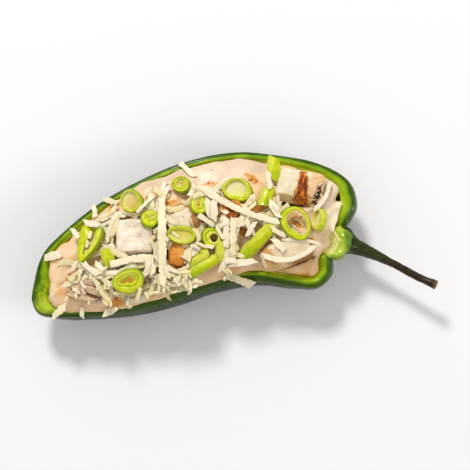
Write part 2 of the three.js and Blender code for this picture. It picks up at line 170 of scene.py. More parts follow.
# %% [markdown]
# ## Tools for finishes
#
# Every finish is one Principled shader with a few nodes before it. A value that is the same everywhere sits
# on the shader's own socket. What varies comes from noise in the pepper's own space, and from numbers that
# each mesh carries on its points, such as how deep in the cut a point lies. Painted images could say the
# same, but these have no seams and need no unwrapping.


# %% Finish helpers
class Finish:
    """A material with its Principled shader, and short ways to add the nodes that vary it."""

    def __init__(self, name, sockets):
        self.material = bpy.data.materials.new(name)
        self.material.use_nodes = True
        self.tree = self.material.node_tree
        self.shader = self.tree.nodes["Principled BSDF"]
        self.shader.inputs["Subsurface Radius"].default_value = (1.0, 0.85, 0.65)
        for socket, value in sockets.items():
            self.shader.inputs[socket].default_value = value
        self.place = self.tree.nodes.new("ShaderNodeTexCoord").outputs["Object"]

    def node(self, kind, inputs, **fields):
        """A node of a kind, with its sockets linked or set and its fields filled in."""
        made = self.tree.nodes.new(kind)
        for field, value in fields.items():
            setattr(made, field, value)
        for socket, value in inputs.items():
            if isinstance(value, bpy.types.NodeSocket):
                self.tree.links.new(value, made.inputs[socket])
            else:
                made.inputs[socket].default_value = value
        return made

    def trait(self, name):
        """A number that the mesh carries on its points."""
        return self.node("ShaderNodeAttribute", {}, attribute_name=name).outputs["Fac"]

    def noise(self, grain, detail=3.0, stretch=(1, 1, 1), turn=0.0):
        """Soft noise with features about grain millimetres wide, stretched along the axes."""
        mapped = self.node("ShaderNodeMapping", {"Vector": self.place, "Rotation": (0, 0, turn)})
        mapped.inputs["Scale"].default_value = [1 / (grain * MM * s) for s in stretch]
        inputs = {"Vector": mapped.outputs["Vector"], "Scale": 1.0, "Detail": detail}
        return self.node("ShaderNodeTexNoise", inputs).outputs["Fac"]

    def between(self, value, low, high, to_low=0.0, to_high=1.0):
        """value carried from low..high to to_low..to_high, held at both ends."""
        made = self.node("ShaderNodeMapRange", {0: value, 1: low, 2: high, 3: to_low, 4: to_high}, clamp=True)
        return made.outputs["Result"]

    def times(self, first, second):
        """Two numbers multiplied."""
        return self.node("ShaderNodeMath", {0: first, 1: second}, operation="MULTIPLY").outputs[0]

    def plus(self, first, second):
        """Two numbers added."""
        return self.node("ShaderNodeMath", {0: first, 1: second}, operation="ADD").outputs[0]

    def mix(self, share, first, second):
        """A colour that goes from first to second as share goes from 0 to 1."""
        made = self.node("ShaderNodeMix", {0: share, 6: first, 7: second}, data_type="RGBA")
        return made.outputs[2]

    def dapple(self, noise, first, second, low=0.3, high=0.7):
        """Two colours in soft patches, first where the noise is low and second where it is high."""
        return self.mix(self.between(noise, low, high), first, second)

    def feed(self, socket, value):
        """Links a value into one of the shader's sockets."""
        self.tree.links.new(value, self.shader.inputs[socket])

    def bump(self, height, depth, under=None):
        """Relief of depth millimetres."""
        inputs = {"Height": height, "Distance": depth * MM, "Strength": 1.0}
        if under is not None:
            inputs["Normal"] = under
        made = self.node("ShaderNodeBump", inputs).outputs["Normal"]
        self.feed("Normal", made)
        return made


print("finish helpers ready")


# %% [markdown]
# ## Tools for shapes
#
# Most pieces here are closed skins stretched over rings of points. A ring that shrinks to a line closes by
# itself once its doubled points are merged. Modifiers could bend and swell ready-made shapes, but rings put
# every point where a formula says. Each mesh also carries traits: one number for each point, which finishes
# read.


# %% Shape helpers
def add_trait(mesh, trait, values):
    """Gives each point of a mesh a number, under the name of the trait."""
    layer = mesh.attributes.new(trait, "FLOAT", "POINT")
    layer.data.foreach_set("value", np.asarray(values, np.float32).ravel())


def make_piece(name, points, faces, traits, material, merge=0.0):
    """A smooth-shaded object from points in millimetres, faces, and a list of numbers for each trait."""
    mesh = bpy.data.meshes.new(name)
    mesh.from_pydata((np.asarray(points) * MM).tolist(), [], faces)
    for trait, values in traits.items():
        add_trait(mesh, trait, values)
    work = bmesh.new()
    work.from_mesh(mesh)
    if merge:
        bmesh.ops.remove_doubles(work, verts=work.verts, dist=merge * MM)
    bmesh.ops.recalc_face_normals(work, faces=work.faces)
    for face in work.faces:
        face.smooth = True
    work.to_mesh(mesh)
    work.free()
    mesh.materials.append(material)
    piece = bpy.data.objects.new(name, mesh)
    bpy.context.scene.collection.objects.link(piece)
    return piece


def ring_faces(rings, size, start=0, closed=False):
    """Four-sided faces between neighbouring rings of size points, numbered from start."""
    faces = []
    for r in range(rings if closed else rings - 1):
        low, high = start + r * size, start + (r + 1) % rings * size
        for i in range(size):
            j = (i + 1) % size
            faces.append((low + i, low + j, high + j, high + i))
    return faces


def push(piece, depths):
    """Moves each point of a piece along its normal by depths millimetres."""
    mesh = piece.data
    count = len(mesh.vertices)
    places, normals = np.empty(count * 3), np.empty(count * 3)
    mesh.vertices.foreach_get("co", places)
    mesh.vertices.foreach_get("normal", normals)
    places += normals * np.repeat(depths, 3) * MM
    mesh.vertices.foreach_set("co", places)
    mesh.update()


def points_of(piece):
    """The points of a piece, in millimetres."""
    places = np.empty(len(piece.data.vertices) * 3)
    piece.data.vertices.foreach_get("co", places)
    return places.reshape(-1, 3) / MM


def trait_of(piece, trait):
    """The numbers that a piece's points carry under a name."""
    values = np.empty(len(piece.data.vertices), np.float32)
    piece.data.attributes[trait].data.foreach_get("value", values)
    return values


print("shape helpers ready")

# %% [markdown]
# Nothing on a plate of food is smooth, so every shape gets some grain: noise that is worked out in space
# and moves the points themselves, because relief that is only shaded is lost at the edges.


# %% Grain
def grain_at(points, size, seed):
    """Smooth noise of about -1 to 1 at each point, with features size millimetres wide."""
    offset = Vector((seed * 17.3, seed * 5.1, seed * 9.7))  # far apart, so that no two seeds look alike
    return np.array([noise.noise(Vector(p) / size + offset) for p in points])


print("grain at one point:", round(float(grain_at([(1, 2, 3)], 5, 1)[0]), 3))

# %% [markdown]
# A finished piece rides on the pepper's one body and hides the CAD nodes that it stands for. Its points are
# first held inside the frame's box, so it never reaches past the real size.


# %% Placing a piece
def place_piece(piece, slot, *stands_for):
    """Rides a piece on the pepper and hides the CAD nodes that it stands for; the slot is not used."""
    inside = np.clip(points_of(piece) * MM, *np.array(cad_box))
    piece.data.vertices.foreach_set("co", inside.ravel())
    piece.data.update()
    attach(piece, "root")
    if stands_for:
        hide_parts(*stands_for)
    print(f"{piece.name}: {len(piece.data.vertices)} points")
    return piece


print("box in millimetres:", [round(float(v) / MM, 1) for v in cad_box[1] - cad_box[0]])

# %% [markdown]
# ## The pepper's shape
#
# Seen from above, the cut follows a smooth line through a few points on each side. Each pair of points
# looks at one point of the spine, which the keel under the belly follows. The form could be sculpted, but
# the rule that shaped the solid gives it again, with five times as many columns: enough for furrows,
# wrinkles and a wet uneven cut.

# %% Driving dimensions
RIM_HEIGHT, KEEL_DEPTH = 26.5, 27.6
WALL, BELLY_WALL, TIP_FLESH, SHOULDER_FLESH = 3.9, 3.4, 5.2, 1.9
TIP, STEM_NOTCH = (-74.7, -16), (67, -18.5)
SPINE_START, SPINE_END = (-58.5, -10.8), (57.5, -13.5)
FAR_EDGE = [
    (-72.2, -8.5), (-65, 4.3), (-52, 13.2), (-35, 21.2), (-12, 27.9), (10, 31),
    (30, 30), (50, 23.6), (66.6, 15.6), (76.6, 6), (77.8, -5), (72.4, -12.6),
]
SPINE = [
    (-57.8, -10.6), (-54.6, -9.6), (-46, -7.8), (-32, -5.2), (-12, -2), (8, 0.3),
    (26, -0.5), (41, -4.5), (50, -8), (54.5, -10.5), (56.3, -12), (57, -13),
]
NEAR_EDGE = [
    (-73.2, -21.5), (-66, -25.4), (-50, -29.2), (-32, -31.8), (-12, -31.8), (8, -29.9),
    (26, -30.6), (41, -35.6), (52, -38), (59.4, -33.8), (61.6, -27.6), (62.6, -23),
]
COLUMNS = 312
HALF = COLUMNS // 2
print("points that the outline is drawn through:", len(FAR_EDGE) + len(NEAR_EDGE) + 2)

# %% [markdown]
# Blender has curves of its own, but the skin needs the same number of points on both sides, evenly shared
# out, so the curve is worked out here. Nearly everything after it is shaped by two soft forms: a ramp that
# goes from 0 to 1, and a hump that rises to 1 and falls again.


# %% Curves, ramps and humps
def smooth_curve(through, count, closed):
    """count points along a smooth curve through the given points, evenly spread between each two of them."""
    through = np.array(through, float)
    spans = len(through) if closed else len(through) - 1
    curve = []
    for step in np.arange(count) / (count if closed else count - 1) * spans:
        start = min(int(step), spans - 1)
        share = step - start
        if closed:
            p0, p1, p2, p3 = (through[(start + k) % spans] for k in (-1, 0, 1, 2))
        else:
            p1, p2 = through[start], through[start + 1]
            p0 = through[start - 1] if start else 2 * p1 - p2
            p3 = through[start + 2] if start + 2 < len(through) else 2 * p2 - p1
        d0, d1, d2 = (np.linalg.norm(b - a) ** 0.5 for a, b in ((p0, p1), (p1, p2), (p2, p3)))
        leaving = ((p1 - p0) / d0 - (p2 - p0) / (d0 + d1) + (p2 - p1) / d1) * d1
        arriving = ((p2 - p1) / d1 - (p3 - p1) / (d1 + d2) + (p3 - p2) / d2) * d1
        bend = -3 * p1 + 3 * p2 - 2 * leaving - arriving
        close = 2 * p1 - 2 * p2 + leaving + arriving
        curve.append(p1 + leaving * share + bend * share**2 + close * share**3)
    return np.array(curve)


def ramp(x, low, high):
    """0 up to low, 1 from high on, and a soft step between them."""
    share = np.clip((x - low) / (high - low), 0, 1)
    return share * share * (3 - 2 * share)


def hump(x, middle, width):
    """1 at the middle, falling softly to 0 on both sides."""
    return np.exp(-(((x - middle) / width) ** 2))


def mound_at(x, y, middle, radii):
    """A smooth rise to 1 round a middle."""
    return hump(x, middle[0], radii[0]) * hump(y, middle[1], radii[1])


print("a ramp at its quarter:", round(float(ramp(0.25, 0, 1)), 3))

# %% [markdown]
# The outline runs from the tip along the far side to the stem, and back along the near side. At each
# column, inward means straight to the keel at the tip and square to the outline everywhere else, so that
# the wall keeps its thickness.

# %% Outline and spine
EDGE = smooth_curve([TIP, *FAR_EDGE, STEM_NOTCH, *reversed(NEAR_EDGE)], COLUMNS, True)
half_spine = smooth_curve([SPINE_START, *SPINE, SPINE_END], HALF + 1, False)
column = np.arange(COLUMNS)
ALONG = np.where(column <= HALF, column, COLUMNS - column) / HALF
FAR = (column > 0) & (column < HALF)
KEEL = half_spine[np.round(ALONG * HALF).astype(int)]
heading = np.roll(EDGE, -1, 0) - np.roll(EDGE, 1, 0)
square_in = np.stack([heading[:, 1], -heading[:, 0]], 1)
square_in /= np.linalg.norm(square_in, axis=1, keepdims=True)
to_keel = KEEL - EDGE
to_keel /= np.linalg.norm(to_keel, axis=1, keepdims=True)
turned = ramp(ALONG, 0.08, 0.22)[:, None]
INWARD = to_keel * (1 - turned) + square_in * turned
INWARD /= np.linalg.norm(INWARD, axis=1, keepdims=True)
print("length of the pepper in millimetres:", round(np.ptp(EDGE[:, 0]), 1))

# %% [markdown]
# The skin is widest a little below the cut and leans in above that, most of all round the shoulders and in
# the middle of the near side. The wall is thick at the tip and at the shoulders. Each measure is a formula
# of the column, so one function gives the outer skin and every surface inside it.

# %% Skin, wall and cut
WIDEST = 0.18  # how far down the skin is widest, from 0 at the cut to 1 at the keel
shoulders = hump(ALONG, 0.86, 0.12)
TUCK = np.where(FAR, 0.5 + 1.6 * shoulders, 0.7 + 4.3 * hump(ALONG, 0.4, 0.2) + 0.96 * shoulders)
DROP = 3 + 1.3 * TUCK
RIM_TOP = (
    RIM_HEIGHT
    + np.where(FAR, 0.6, -0.9) * np.sin(np.pi * ALONG)
    + 0.35 * np.sin(9 * ALONG + np.where(FAR, 1, 2.5))
)
WALLS = WALL + TIP_FLESH * (1 - ramp(ALONG, 0.02, 0.2)) + SHOULDER_FLESH * hump(ALONG, 0.82, 0.14)
DEEPEST = 6  # where along the pepper the belly begins to rise towards the tip
to_tip = np.maximum((DEEPEST - KEEL[:, 0]) / (DEEPEST - SPINE_START[0]), 0)
DEPTH = KEEL_DEPTH * (1 - 0.4 * to_tip**2.2) * (1 - 0.1 * ramp(KEEL[:, 0], 30, SPINE_END[0]))


def skin_ring(inset, down):
    """A ring of the skin, or of the surface that lies inset inside it, from 0 at the cut to 1 at the keel."""
    inset = np.broadcast_to(np.asarray(inset, float), (COLUMNS,))
    if down < WIDEST:
        above = 1 - down / WIDEST
        flat = EDGE + INWARD * (inset + TUCK * above**2)[:, None]
        return np.column_stack([flat, RIM_TOP - DROP * (1 - above)])
    angle = (down - WIDEST) / (1 - WIDEST) * math.pi / 2
    belly = DEPTH - DROP - inset * BELLY_WALL / WALLS
    lobes = 0.05 * np.sin(np.pi * ALONG) ** 0.5 * (hump(down, 0.42, 0.1) + 0.7 * hump(down, 0.78, 0.08))
    reach = max(math.cos(angle), 0) * np.where(inset > 0, 1, 1 - lobes)
    widest = EDGE + INWARD * inset[:, None]
    flat = KEEL + (widest - KEEL) * reach[:, None]
    top = RIM_TOP * (1 - math.sin(angle)) + RIM_HEIGHT * math.sin(angle)
    return np.column_stack([flat, top - DROP - belly * math.sin(angle)])


def rim_ring(inset, lift):
    """A ring at the height of the cut, inset from the skin and lifted."""
    ring = skin_ring(inset, 0)
    ring[:, 2] += lift
    return ring


NOTCH = 2.6 * np.where(FAR, ramp(ALONG, 0.915, 0.965), ramp(ALONG, 0.875, 0.93))  # dips under the core
print("wall in millimetres, thinnest and thickest:", round(WALLS.min(), 1), round(WALLS.max(), 1))

# %% [markdown]
# The skin is dark, glossy and a little wrinkled from roasting. The cut shows bright green flesh that swells
# up slightly, as wet flesh does, with the thin dark line of the skin round it and paler, yellower flesh at
# the tip. One mesh holds both, because the real skin and flesh are one, and the trait "cut" tells them
# apart: it runs from 0 on the skin, over the cut, to 1 on the inner wall.

# %% Rings of the wall
LIP = 0.9  # radius of the cut's rounded edges
rings, cuts, lows = [], [], []


def add_ring(ring, cut, low=0.0):
    """Keeps a ring with how far over the cut and how low on the skin it lies."""
    rings.append(ring)
    cuts.append(np.full(COLUMNS, cut))
    lows.append(np.full(COLUMNS, low))


def round_lip(angle):
    """How far in and how far down a point of a rounded edge lies."""
    return LIP * (1 - math.cos(angle)), LIP * (1 - math.sin(angle))


for down in [*np.linspace(1, WIDEST, 40), *np.linspace(WIDEST, 0.02, 9)[1:]]:
    add_ring(skin_ring(0, down), 0, down)
for step, angle in enumerate(np.radians([15, 35, 55, 75])):
    inward, below = round_lip(angle)
    add_ring(rim_ring(inward, -below - 0.5 * NOTCH), 0.05 * (step + 1))
for share in np.linspace(0, 1, 13):
    swell = 1.1 * math.sin(math.pi * share**0.9) ** 0.8 - 0.5 * share**3
    add_ring(rim_ring(LIP + share * (WALLS - 2 * LIP), swell - NOTCH), 0.25 + 0.5 * share)
for step, angle in enumerate(np.radians([70, 45, 20])):
    inward, below = round_lip(angle)
    add_ring(rim_ring(WALLS - inward, -0.5 - below - NOTCH), 0.8 + 0.06 * step)
for down in [0.09, 0.14, WIDEST, 0.3, 0.45, 0.6, 0.8, 1]:
    add_ring(skin_ring(WALLS, down), 1, down)
print("rings in the wall:", len(rings))

# %% [markdown]
# Roasted skin shrinks into long shallow wrinkles, wet flesh swells unevenly, and the soft flesh at the tip
# lies in folds. Each is noise of its own size, pushed out along the surface only where it belongs.

# %% Build the pepper
pepper_finish = Finish(
    "pepper_skin_and_flesh", {"Specular IOR Level": 0.2, "Coat Roughness": 0.1, "Subsurface Scale": 0.002}
)
pepper = make_piece(
    "pepper_half",
    np.concatenate(rings),
    ring_faces(len(rings), COLUMNS),
    {"cut": np.concatenate(cuts), "low": np.concatenate(lows), "along": np.tile(ALONG, len(rings))},
    pepper_finish.material,
    merge=0.002,
)
skin_points = points_of(pepper)
cut = trait_of(pepper, "cut")
on_skin = 1 - ramp(cut, 0, 0.15)
on_cut = ramp(cut, 0.1, 0.25) * (1 - ramp(cut, 0.85, 1))
at_tip = hump(trait_of(pepper, "along"), 0, 0.1)
wrinkles = 0.28 * grain_at(skin_points * [0.35, 1, 1], 5, 1)
wrinkles += 0.1 * grain_at(skin_points * [0.4, 1, 1], 1.8, 2)
swells = 0.3 * grain_at(skin_points, 9, 3) + 0.05 * grain_at(skin_points, 2, 4)
folds = 0.9 * grain_at(skin_points * [1, 0.5, 1], 3.2, 33) + 0.3 * grain_at(skin_points, 1.4, 34)
tip_light = mound_at(skin_points[:, 0], skin_points[:, 1], (-69.5, -19), (6, 3.6)) * ramp(cut, 0.02, 0.2)
add_trait(pepper.data, "light", tip_light)
push(pepper, on_skin * wrinkles + on_cut * swells + on_cut * at_tip * folds)
place_piece(pepper, "pepper", "pepper_shell")

# %% [markdown]
# The skin's green is almost black where it is thick and olive where it thins. Under the gloss there are
# faint lengthwise streaks. The flesh goes from deep green under the skin to a light yellow-green inside, in
# three steps along the trait "cut", which noise makes uneven so that no step shows as a line.

# %% Finish of the pepper
f = pepper_finish
streaks = f.noise(3.0, 4, stretch=(5, 1, 1.6), turn=-0.1)
blotches = f.noise(14.0, 2)
dark_skin = f.dapple(streaks, paint(9, 20, 2), paint(30, 48, 6), low=0.35)
dark_skin = f.mix(f.between(blotches, 0.52, 0.75, 0, 0.4), dark_skin, paint(46, 62, 10))
dark_skin = f.mix(f.between(f.trait("low"), 0.03, 0.12, 0.9, 0), dark_skin, paint(62, 92, 5))
veins = f.noise(5.0, 2)
outer_flesh = f.dapple(veins, paint(50, 84, 2), paint(76, 112, 4))
middle_flesh = f.dapple(veins, paint(122, 160, 3), paint(148, 176, 8))
inner_flesh = f.dapple(veins, paint(172, 198, 26), paint(200, 214, 78))
tip_flesh = f.dapple(f.noise(2.0, 3), paint(84, 112, 3), paint(168, 188, 20), low=0.4, high=0.6)
lit_flesh = f.dapple(veins, paint(150, 180, 30), paint(196, 208, 84))
depth = f.plus(f.trait("cut"), f.between(f.noise(9.0, 2), 0.3, 0.7, -0.09, 0.09))
depth = f.plus(depth, f.between(f.trait("along"), 0.02, 0.14, -0.12, 0))
flesh = f.mix(f.between(depth, 0.2, 0.42), outer_flesh, middle_flesh)
flesh = f.mix(f.between(depth, 0.46, 0.78), flesh, inner_flesh)
tip_share = f.times(f.between(f.trait("along"), 0.02, 0.14, 0.8, 0), f.between(depth, 0.22, 0.45))
flesh = f.mix(tip_share, flesh, tip_flesh)
flesh = f.mix(f.trait("light"), flesh, lit_flesh)
cut_edge = f.between(f.trait("cut"), 0.04, 0.2)
f.feed("Base Color", f.mix(cut_edge, dark_skin, flesh))
f.feed("Roughness", f.between(cut_edge, 0, 1, 0.26, 0.32))
gloss = f.between(f.noise(2.5, 2), 0.35, 0.65, 0.5, 1)
f.feed("Coat Weight", f.times(gloss, f.between(cut_edge, 0, 1, 0.6, 0.25)))
f.feed("Subsurface Weight", f.between(cut_edge, 0, 1, 0.0, 0.2))
fine_relief = f.bump(f.noise(1.2, 3, stretch=(3, 1, 1)), 0.06)
f.bump(f.noise(6.0, 2), 0.2, under=fine_relief)
print("pepper finished")

# %% [markdown]
# ## Core and stem
#
# Where the stem enters there is a pale knob of flesh, cut level, with a white membrane across it. Its top
# is all swells and hollows. They could be sculpted, but a few humps in a list of rings put each at its real
# place and height, and the same humps serve as traits for the colours.

# %% The core
CORE_AT, CORE_WIDE, CORE_DEEP = (64.2, -19.4), (7.5, 7.6), 14.8
CORE_TOP = RIM_HEIGHT + 0.4
core_angles = np.linspace(0, 2 * math.pi, 120, endpoint=False)
core_lobes = 0.05 * np.sin(3 * core_angles + 0.6) + 0.04 * np.sin(7 * core_angles)
core_lobes += 0.02 * np.sin(13 * core_angles)
CUT_OFF = 0.27  # how far below a ball's middle the knob's level top lies, as a share of the ball's radius


def core_ring(out, down=0.0):
    """A ring of the knob, from its middle out to its edge, and then down its side."""
    slope = math.sqrt(1 - (CUT_OFF + (1 - CUT_OFF) * down) ** 2) / math.sqrt(1 - CUT_OFF**2)
    radius = out * slope * (1 + core_lobes * (1 - down))
    x, y = CORE_WIDE[0] * radius * np.cos(core_angles), CORE_WIDE[1] * radius * np.sin(core_angles)
    past = x - (1.6 - np.where(y > 0.3, 0.33, 0.75) * np.abs(y - 0.3))
    bulge = mound_at(x, y, (4.8, -0.4), (2.4, 4.6))
    flap = mound_at(x, y, (-0.4, -5.8), (6, 1.7))
    shoulder = mound_at(x, y, (2.6, 5.4), (3.4, 2))
    hollow = mound_at(x, y, (-1.6, 1), (2.2, 3.6))
    ridge = hump(past, 0, 0.34) * ramp(y, -4.4, -2.6) * (1 - ramp(y, 4, 6.4))
    swell = 1.7 * bulge + 1.1 * flap + 0.7 * shoulder - 0.9 * hollow + 0.45 * ridge
    swell += 0.12 * np.sin(2.6 * y + 0.8 * x) * hollow - 0.35 * hump(past, 1.1, 0.5) * (1 - bulge)
    height = CORE_TOP - 1.6 * out**5 - CORE_DEEP * down + swell * (1 - out**6) * (down == 0)
    ring = np.column_stack([CORE_AT[0] + x, CORE_AT[1] + y, height])
    rim_side = np.clip(ramp(x, 1, 6) * (1 - 0.7 * shoulder) + 0.7 * ramp(-y, 4.5, 7.5) + down, 0, 1)
    return ring, np.clip(ramp(past, 0.2, 1) + flap, 0, 1), ridge * (down == 0), rim_side


core_rows = [core_ring(out) for out in np.linspace(0, 1, 40)]
core_rows += [core_ring(1, down) for down in np.linspace(0.05, 1, 16)]
core_points, outer, membrane, edge = (np.concatenate(part) for part in zip(*core_rows))
core_finish = Finish("core_flesh", {
    "Roughness": 0.32, "Specular IOR Level": 0.35, "Coat Weight": 0.3,
    "Subsurface Weight": 0.25, "Subsurface Scale": 0.002,
})
core = make_piece(
    "core_knob",
    core_points,
    ring_faces(len(core_rows), len(core_angles)),
    {"outer": outer, "membrane": membrane, "edge": edge},
    core_finish.material,
    merge=0.002,
)
push(core, 0.22 * grain_at(points_of(core), 2.2, 5) + 0.1 * grain_at(points_of(core), 0.9, 15))
place_piece(core, "core", "core")

# %% [markdown]
# Inside its membrane the knob is cream-coloured, outside it is a fresh light green, and it gets greener
# towards its rim. The membrane itself is the palest line.

# %% Finish of the core
f = core_finish
fleck = f.between(f.noise(1.3, 3), 0.3, 0.7)
inner_knob = f.mix(fleck, paint(190, 196, 92), paint(224, 218, 152))
outer_knob = f.mix(fleck, paint(150, 180, 30), paint(194, 208, 96))
green_edge = f.plus(f.trait("edge"), f.between(fleck, 0, 1, -0.12, 0.12))
outer_knob = f.mix(f.between(green_edge, 0.3, 0.95), outer_knob, paint(92, 130, 8))
knob = f.mix(f.trait("outer"), inner_knob, outer_knob)
f.feed("Base Color", f.mix(f.between(f.trait("membrane"), 0.35, 0.9), knob, paint(238, 234, 192)))
f.bump(f.noise(0.6, 3), 0.08)
print("core finished")

# %% [markdown]
# The stem flares where it leaves the knob, is slim and a little ribbed, and ends in a dry cut. A curve with
# a round bevel would be quicker, but rings along the same path can flare, carry ribs and sink in at the cut
# end.

# %% The stem
STEM_PATH = [
    (63.5, -15.6, 18.5), (71, -21.4, 18.3), (79, -27.2, 18.1),
    (88, -34.4, 18.4), (97, -42.4, 19.5), (104.4, -48.2, 21.3),
]
STEM_STEPS, STEM_SIDES = 90, 40


def stem_radius(t):
    """Half the stem's thickness, from 0 at the knob to 1 at the cut end."""
    flare = 2.4 * (1 - ramp(t, 0.05, 0.62)) + 2.6 * hump(t, 0.12, 0.07)
    return 1.75 + flare + 0.35 * ramp(t, 0.9, 1)


path = smooth_curve(STEM_PATH, STEM_STEPS + 1, False)
travelled = np.concatenate([[0], np.cumsum(np.linalg.norm(np.diff(path, axis=0), axis=1))])
stem_rings, stem_share = [], []
for s, centre in enumerate(path):
    t = travelled[s] / travelled[-1]
    ahead = Vector(path[min(s + 1, STEM_STEPS)] - path[max(s - 1, 0)]).normalized()
    side = ahead.cross(Vector((0, 0, 1))).normalized()
    rise = side.cross(ahead)
    ring = []
    for i in range(STEM_SIDES):
        a = 2 * math.pi * i / STEM_SIDES
        ribs = 1 + 0.05 * math.cos(5 * a + 2 * t) * (1 - 0.7 * t)
        out = Vector(centre) + (side * math.cos(a) + rise * math.sin(a)) * stem_radius(t) * ribs
        ring.append(tuple(out))
    stem_rings.append(ring)
    stem_share.append([t] * STEM_SIDES)
for shrink, beyond in ((0.86, 0.25), (0.6, 0.3), (0.3, 0.1), (0, 0)):
    end = Vector(path[-1]) + ahead * beyond
    stem_rings.append([tuple(end + (Vector(p) - Vector(path[-1])) * shrink) for p in stem_rings[STEM_STEPS]])
    stem_share.append([1.0 + 0.1 * (1 - shrink)] * STEM_SIDES)
stem_finish = Finish("stem_bark", {"Specular IOR Level": 0.3, "Coat Weight": 0.2, "Coat Roughness": 0.2})
stem = make_piece(
    "stem_stalk",
    np.concatenate(stem_rings),
    ring_faces(len(stem_rings), STEM_SIDES) + [tuple(range(STEM_SIDES))],
    {"t": np.concatenate(stem_share)},
    stem_finish.material,
    merge=0.002,
)
stem_points = points_of(stem)
push(stem, 0.16 * grain_at(stem_points, 2.4, 6) + 0.06 * grain_at(stem_points, 0.9, 7))
place_piece(stem, "stem", "stem")

# %% [markdown]
# The stem dries from dark green to brown towards its cut end, which is pale. Its fibres are noise that is
# stretched nine times along the stem and turned to lie with it.

# %% Finish of the stem
f = stem_finish
fibres = f.noise(0.8, 4, stretch=(9, 1, 1), turn=math.radians(39))
dried = f.plus(f.trait("t"), f.between(f.noise(5, 2), 0.3, 0.7, -0.12, 0.12))
green = f.dapple(fibres, paint(20, 28, 4), paint(58, 72, 18))
brown = f.dapple(fibres, paint(22, 12, 2), paint(68, 46, 14))
dry_end = f.dapple(fibres, paint(96, 74, 42), paint(150, 126, 82))
bark = f.mix(f.between(dried, 0.36, 0.66), green, brown)
f.feed("Base Color", f.mix(f.between(f.trait("t"), 0.97, 1.01), bark, dry_end))
f.feed("Roughness", f.between(dried, 0.2, 0.9, 0.3, 0.42))
f.bump(fibres, 0.25)
print("stem finished")

# %% [markdown]
# ## The cream filling
#
# Thick cream fills the pepper. It laps over the inner edge of the cut and, along the near side, over the
# whole cut. A simulated fluid would find an edge of its own, while a skin of rings keeps the edge where the
# real one is. So that edge comes first: how far inside the pepper's outline it runs at each column.

# %% Edge of the cream
GAP, MOUND = 0.35, 7.6
EDGE_ROLL = 0.9  # height of the rolled edge
DIP = 1.6  # how far the edge drops where SUNK is 1
spill = np.where(FAR, 0, ramp(ALONG, 0.1, 0.22) * (1 - ramp(ALONG, 0.44, 0.56)))
drawn_away = np.where(FAR, hump(ALONG, 0.805, 0.026), 0)  # where it has come off the wall
SUNK = np.where(FAR, 2.4 * drawn_away, 0.6 * ramp(ALONG, 0.5, 0.66))
FILL_INSET = (WALLS - 0.4 + 0.9 * SUNK) * (1 - spill) + 0.4 * spill
FILL_INSET += 0.35 * np.sin(31 * ALONG + np.where(FAR, 0, 2)) * ramp(ALONG, 0, 0.1)
FILL_INSET += 0.3 * np.sin(83 * ALONG) * np.sin(17 * ALONG + 1)
laps = np.where(FAR, ramp(ALONG, 0.1, 0.18) * (1 - ramp(ALONG, 0.6, 0.7)), 0)
travel = np.column_stack([160 * ALONG, np.zeros((COLUMNS, 2))])
ragged = 0.3 - 1.1 * hump(ALONG, 0.4, 0.1) + 1.3 * grain_at(travel, 6, 51)
ragged += 0.6 * grain_at(travel, 2.4, 52)
FILL_INSET += laps * ragged
FILL_INSET -= np.where(FAR, 0, 3.4 * hump(ALONG, 0.935, 0.035))
MOUND_TOP = MOUND * (0.3 + 0.7 * np.sin(np.pi * np.minimum(np.hypot(1.02 * ALONG, 0.1), 1)) ** 0.9)
FILL_EDGE = skin_ring(FILL_INSET, 0)[:, :2]
print("the cream's edge lies inside the skin by up to:", round(float(FILL_INSET.max()), 1))

# %% [markdown]
# The top is a mound with soft lumps over the meat that it hides. It climbs a little against each chunk that
# stands in it, as thick cream does, and the frame says where those chunks are.

# %% Top of the mound
CHUNKS = [name for name in sorted(nodes) if name.startswith("chicken")]


def lumps(x, y):
    """Low waves in the cream, in millimetres."""
    return 0.75 * np.sin(0.21 * x + 0.6) * np.cos(0.24 * y - 0.4) + 0.45 * np.sin(0.47 * x - 0.39 * y + 1.3)


def climb(x, y):
    """How much the cream rises against the chunks that stand in it."""
    rise = np.zeros(len(x))
    for name in CHUNKS:
        low, high = (np.array(corner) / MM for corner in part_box(name))
        middle, half = (low + high) / 2, (high - low) / 2
        away = (((x - middle[0]) / half[0]) ** 4 + ((y - middle[1]) / half[1]) ** 4) ** 0.25
        rise = np.maximum(rise, 1.1 * hump(away, 1.02, 0.16))
    return rise


HIDDEN_AT, HIDDEN_HALF, HIDDEN_TURN, HIDDEN_RISE = (-36, 6.5), (10.5, 4), math.radians(77), 3.2


def hidden_meat(x, y):
    """How much the cream rises over the block of meat under it, beside the large pale chunk."""
    dx, dy = x - HIDDEN_AT[0], y - HIDDEN_AT[1]
    along = dx * math.cos(HIDDEN_TURN) + dy * math.sin(HIDDEN_TURN)
    across = dy * math.cos(HIDDEN_TURN) - dx * math.sin(HIDDEN_TURN)
    return HIDDEN_RISE * np.exp(-((along / HIDDEN_HALF[0]) ** 4) - (across / HIDDEN_HALF[1]) ** 4)


def mound_ring(out):
    """A ring of the filling's top, from 0 over the spine to 1 at its edge."""
    flat = KEEL + (FILL_EDGE - KEEL) * out
    x, y = flat.T
    shape = max(1 - out**2.6, 0) ** 0.62
    base = RIM_HEIGHT * (1 - out) + RIM_TOP * out + GAP - DIP * SUNK * ramp(out, 0.75, 1)
    height = base + EDGE_ROLL + shape * (MOUND_TOP - EDGE_ROLL + lumps(x, y))
    height += climb(x, y) * min(1, 4 * (1 - out))
    return np.column_stack([flat, height + hidden_meat(x, y)])


print("top of the mound over the spine, in millimetres:", round(float(mound_ring(0)[:, 2].max()), 1))
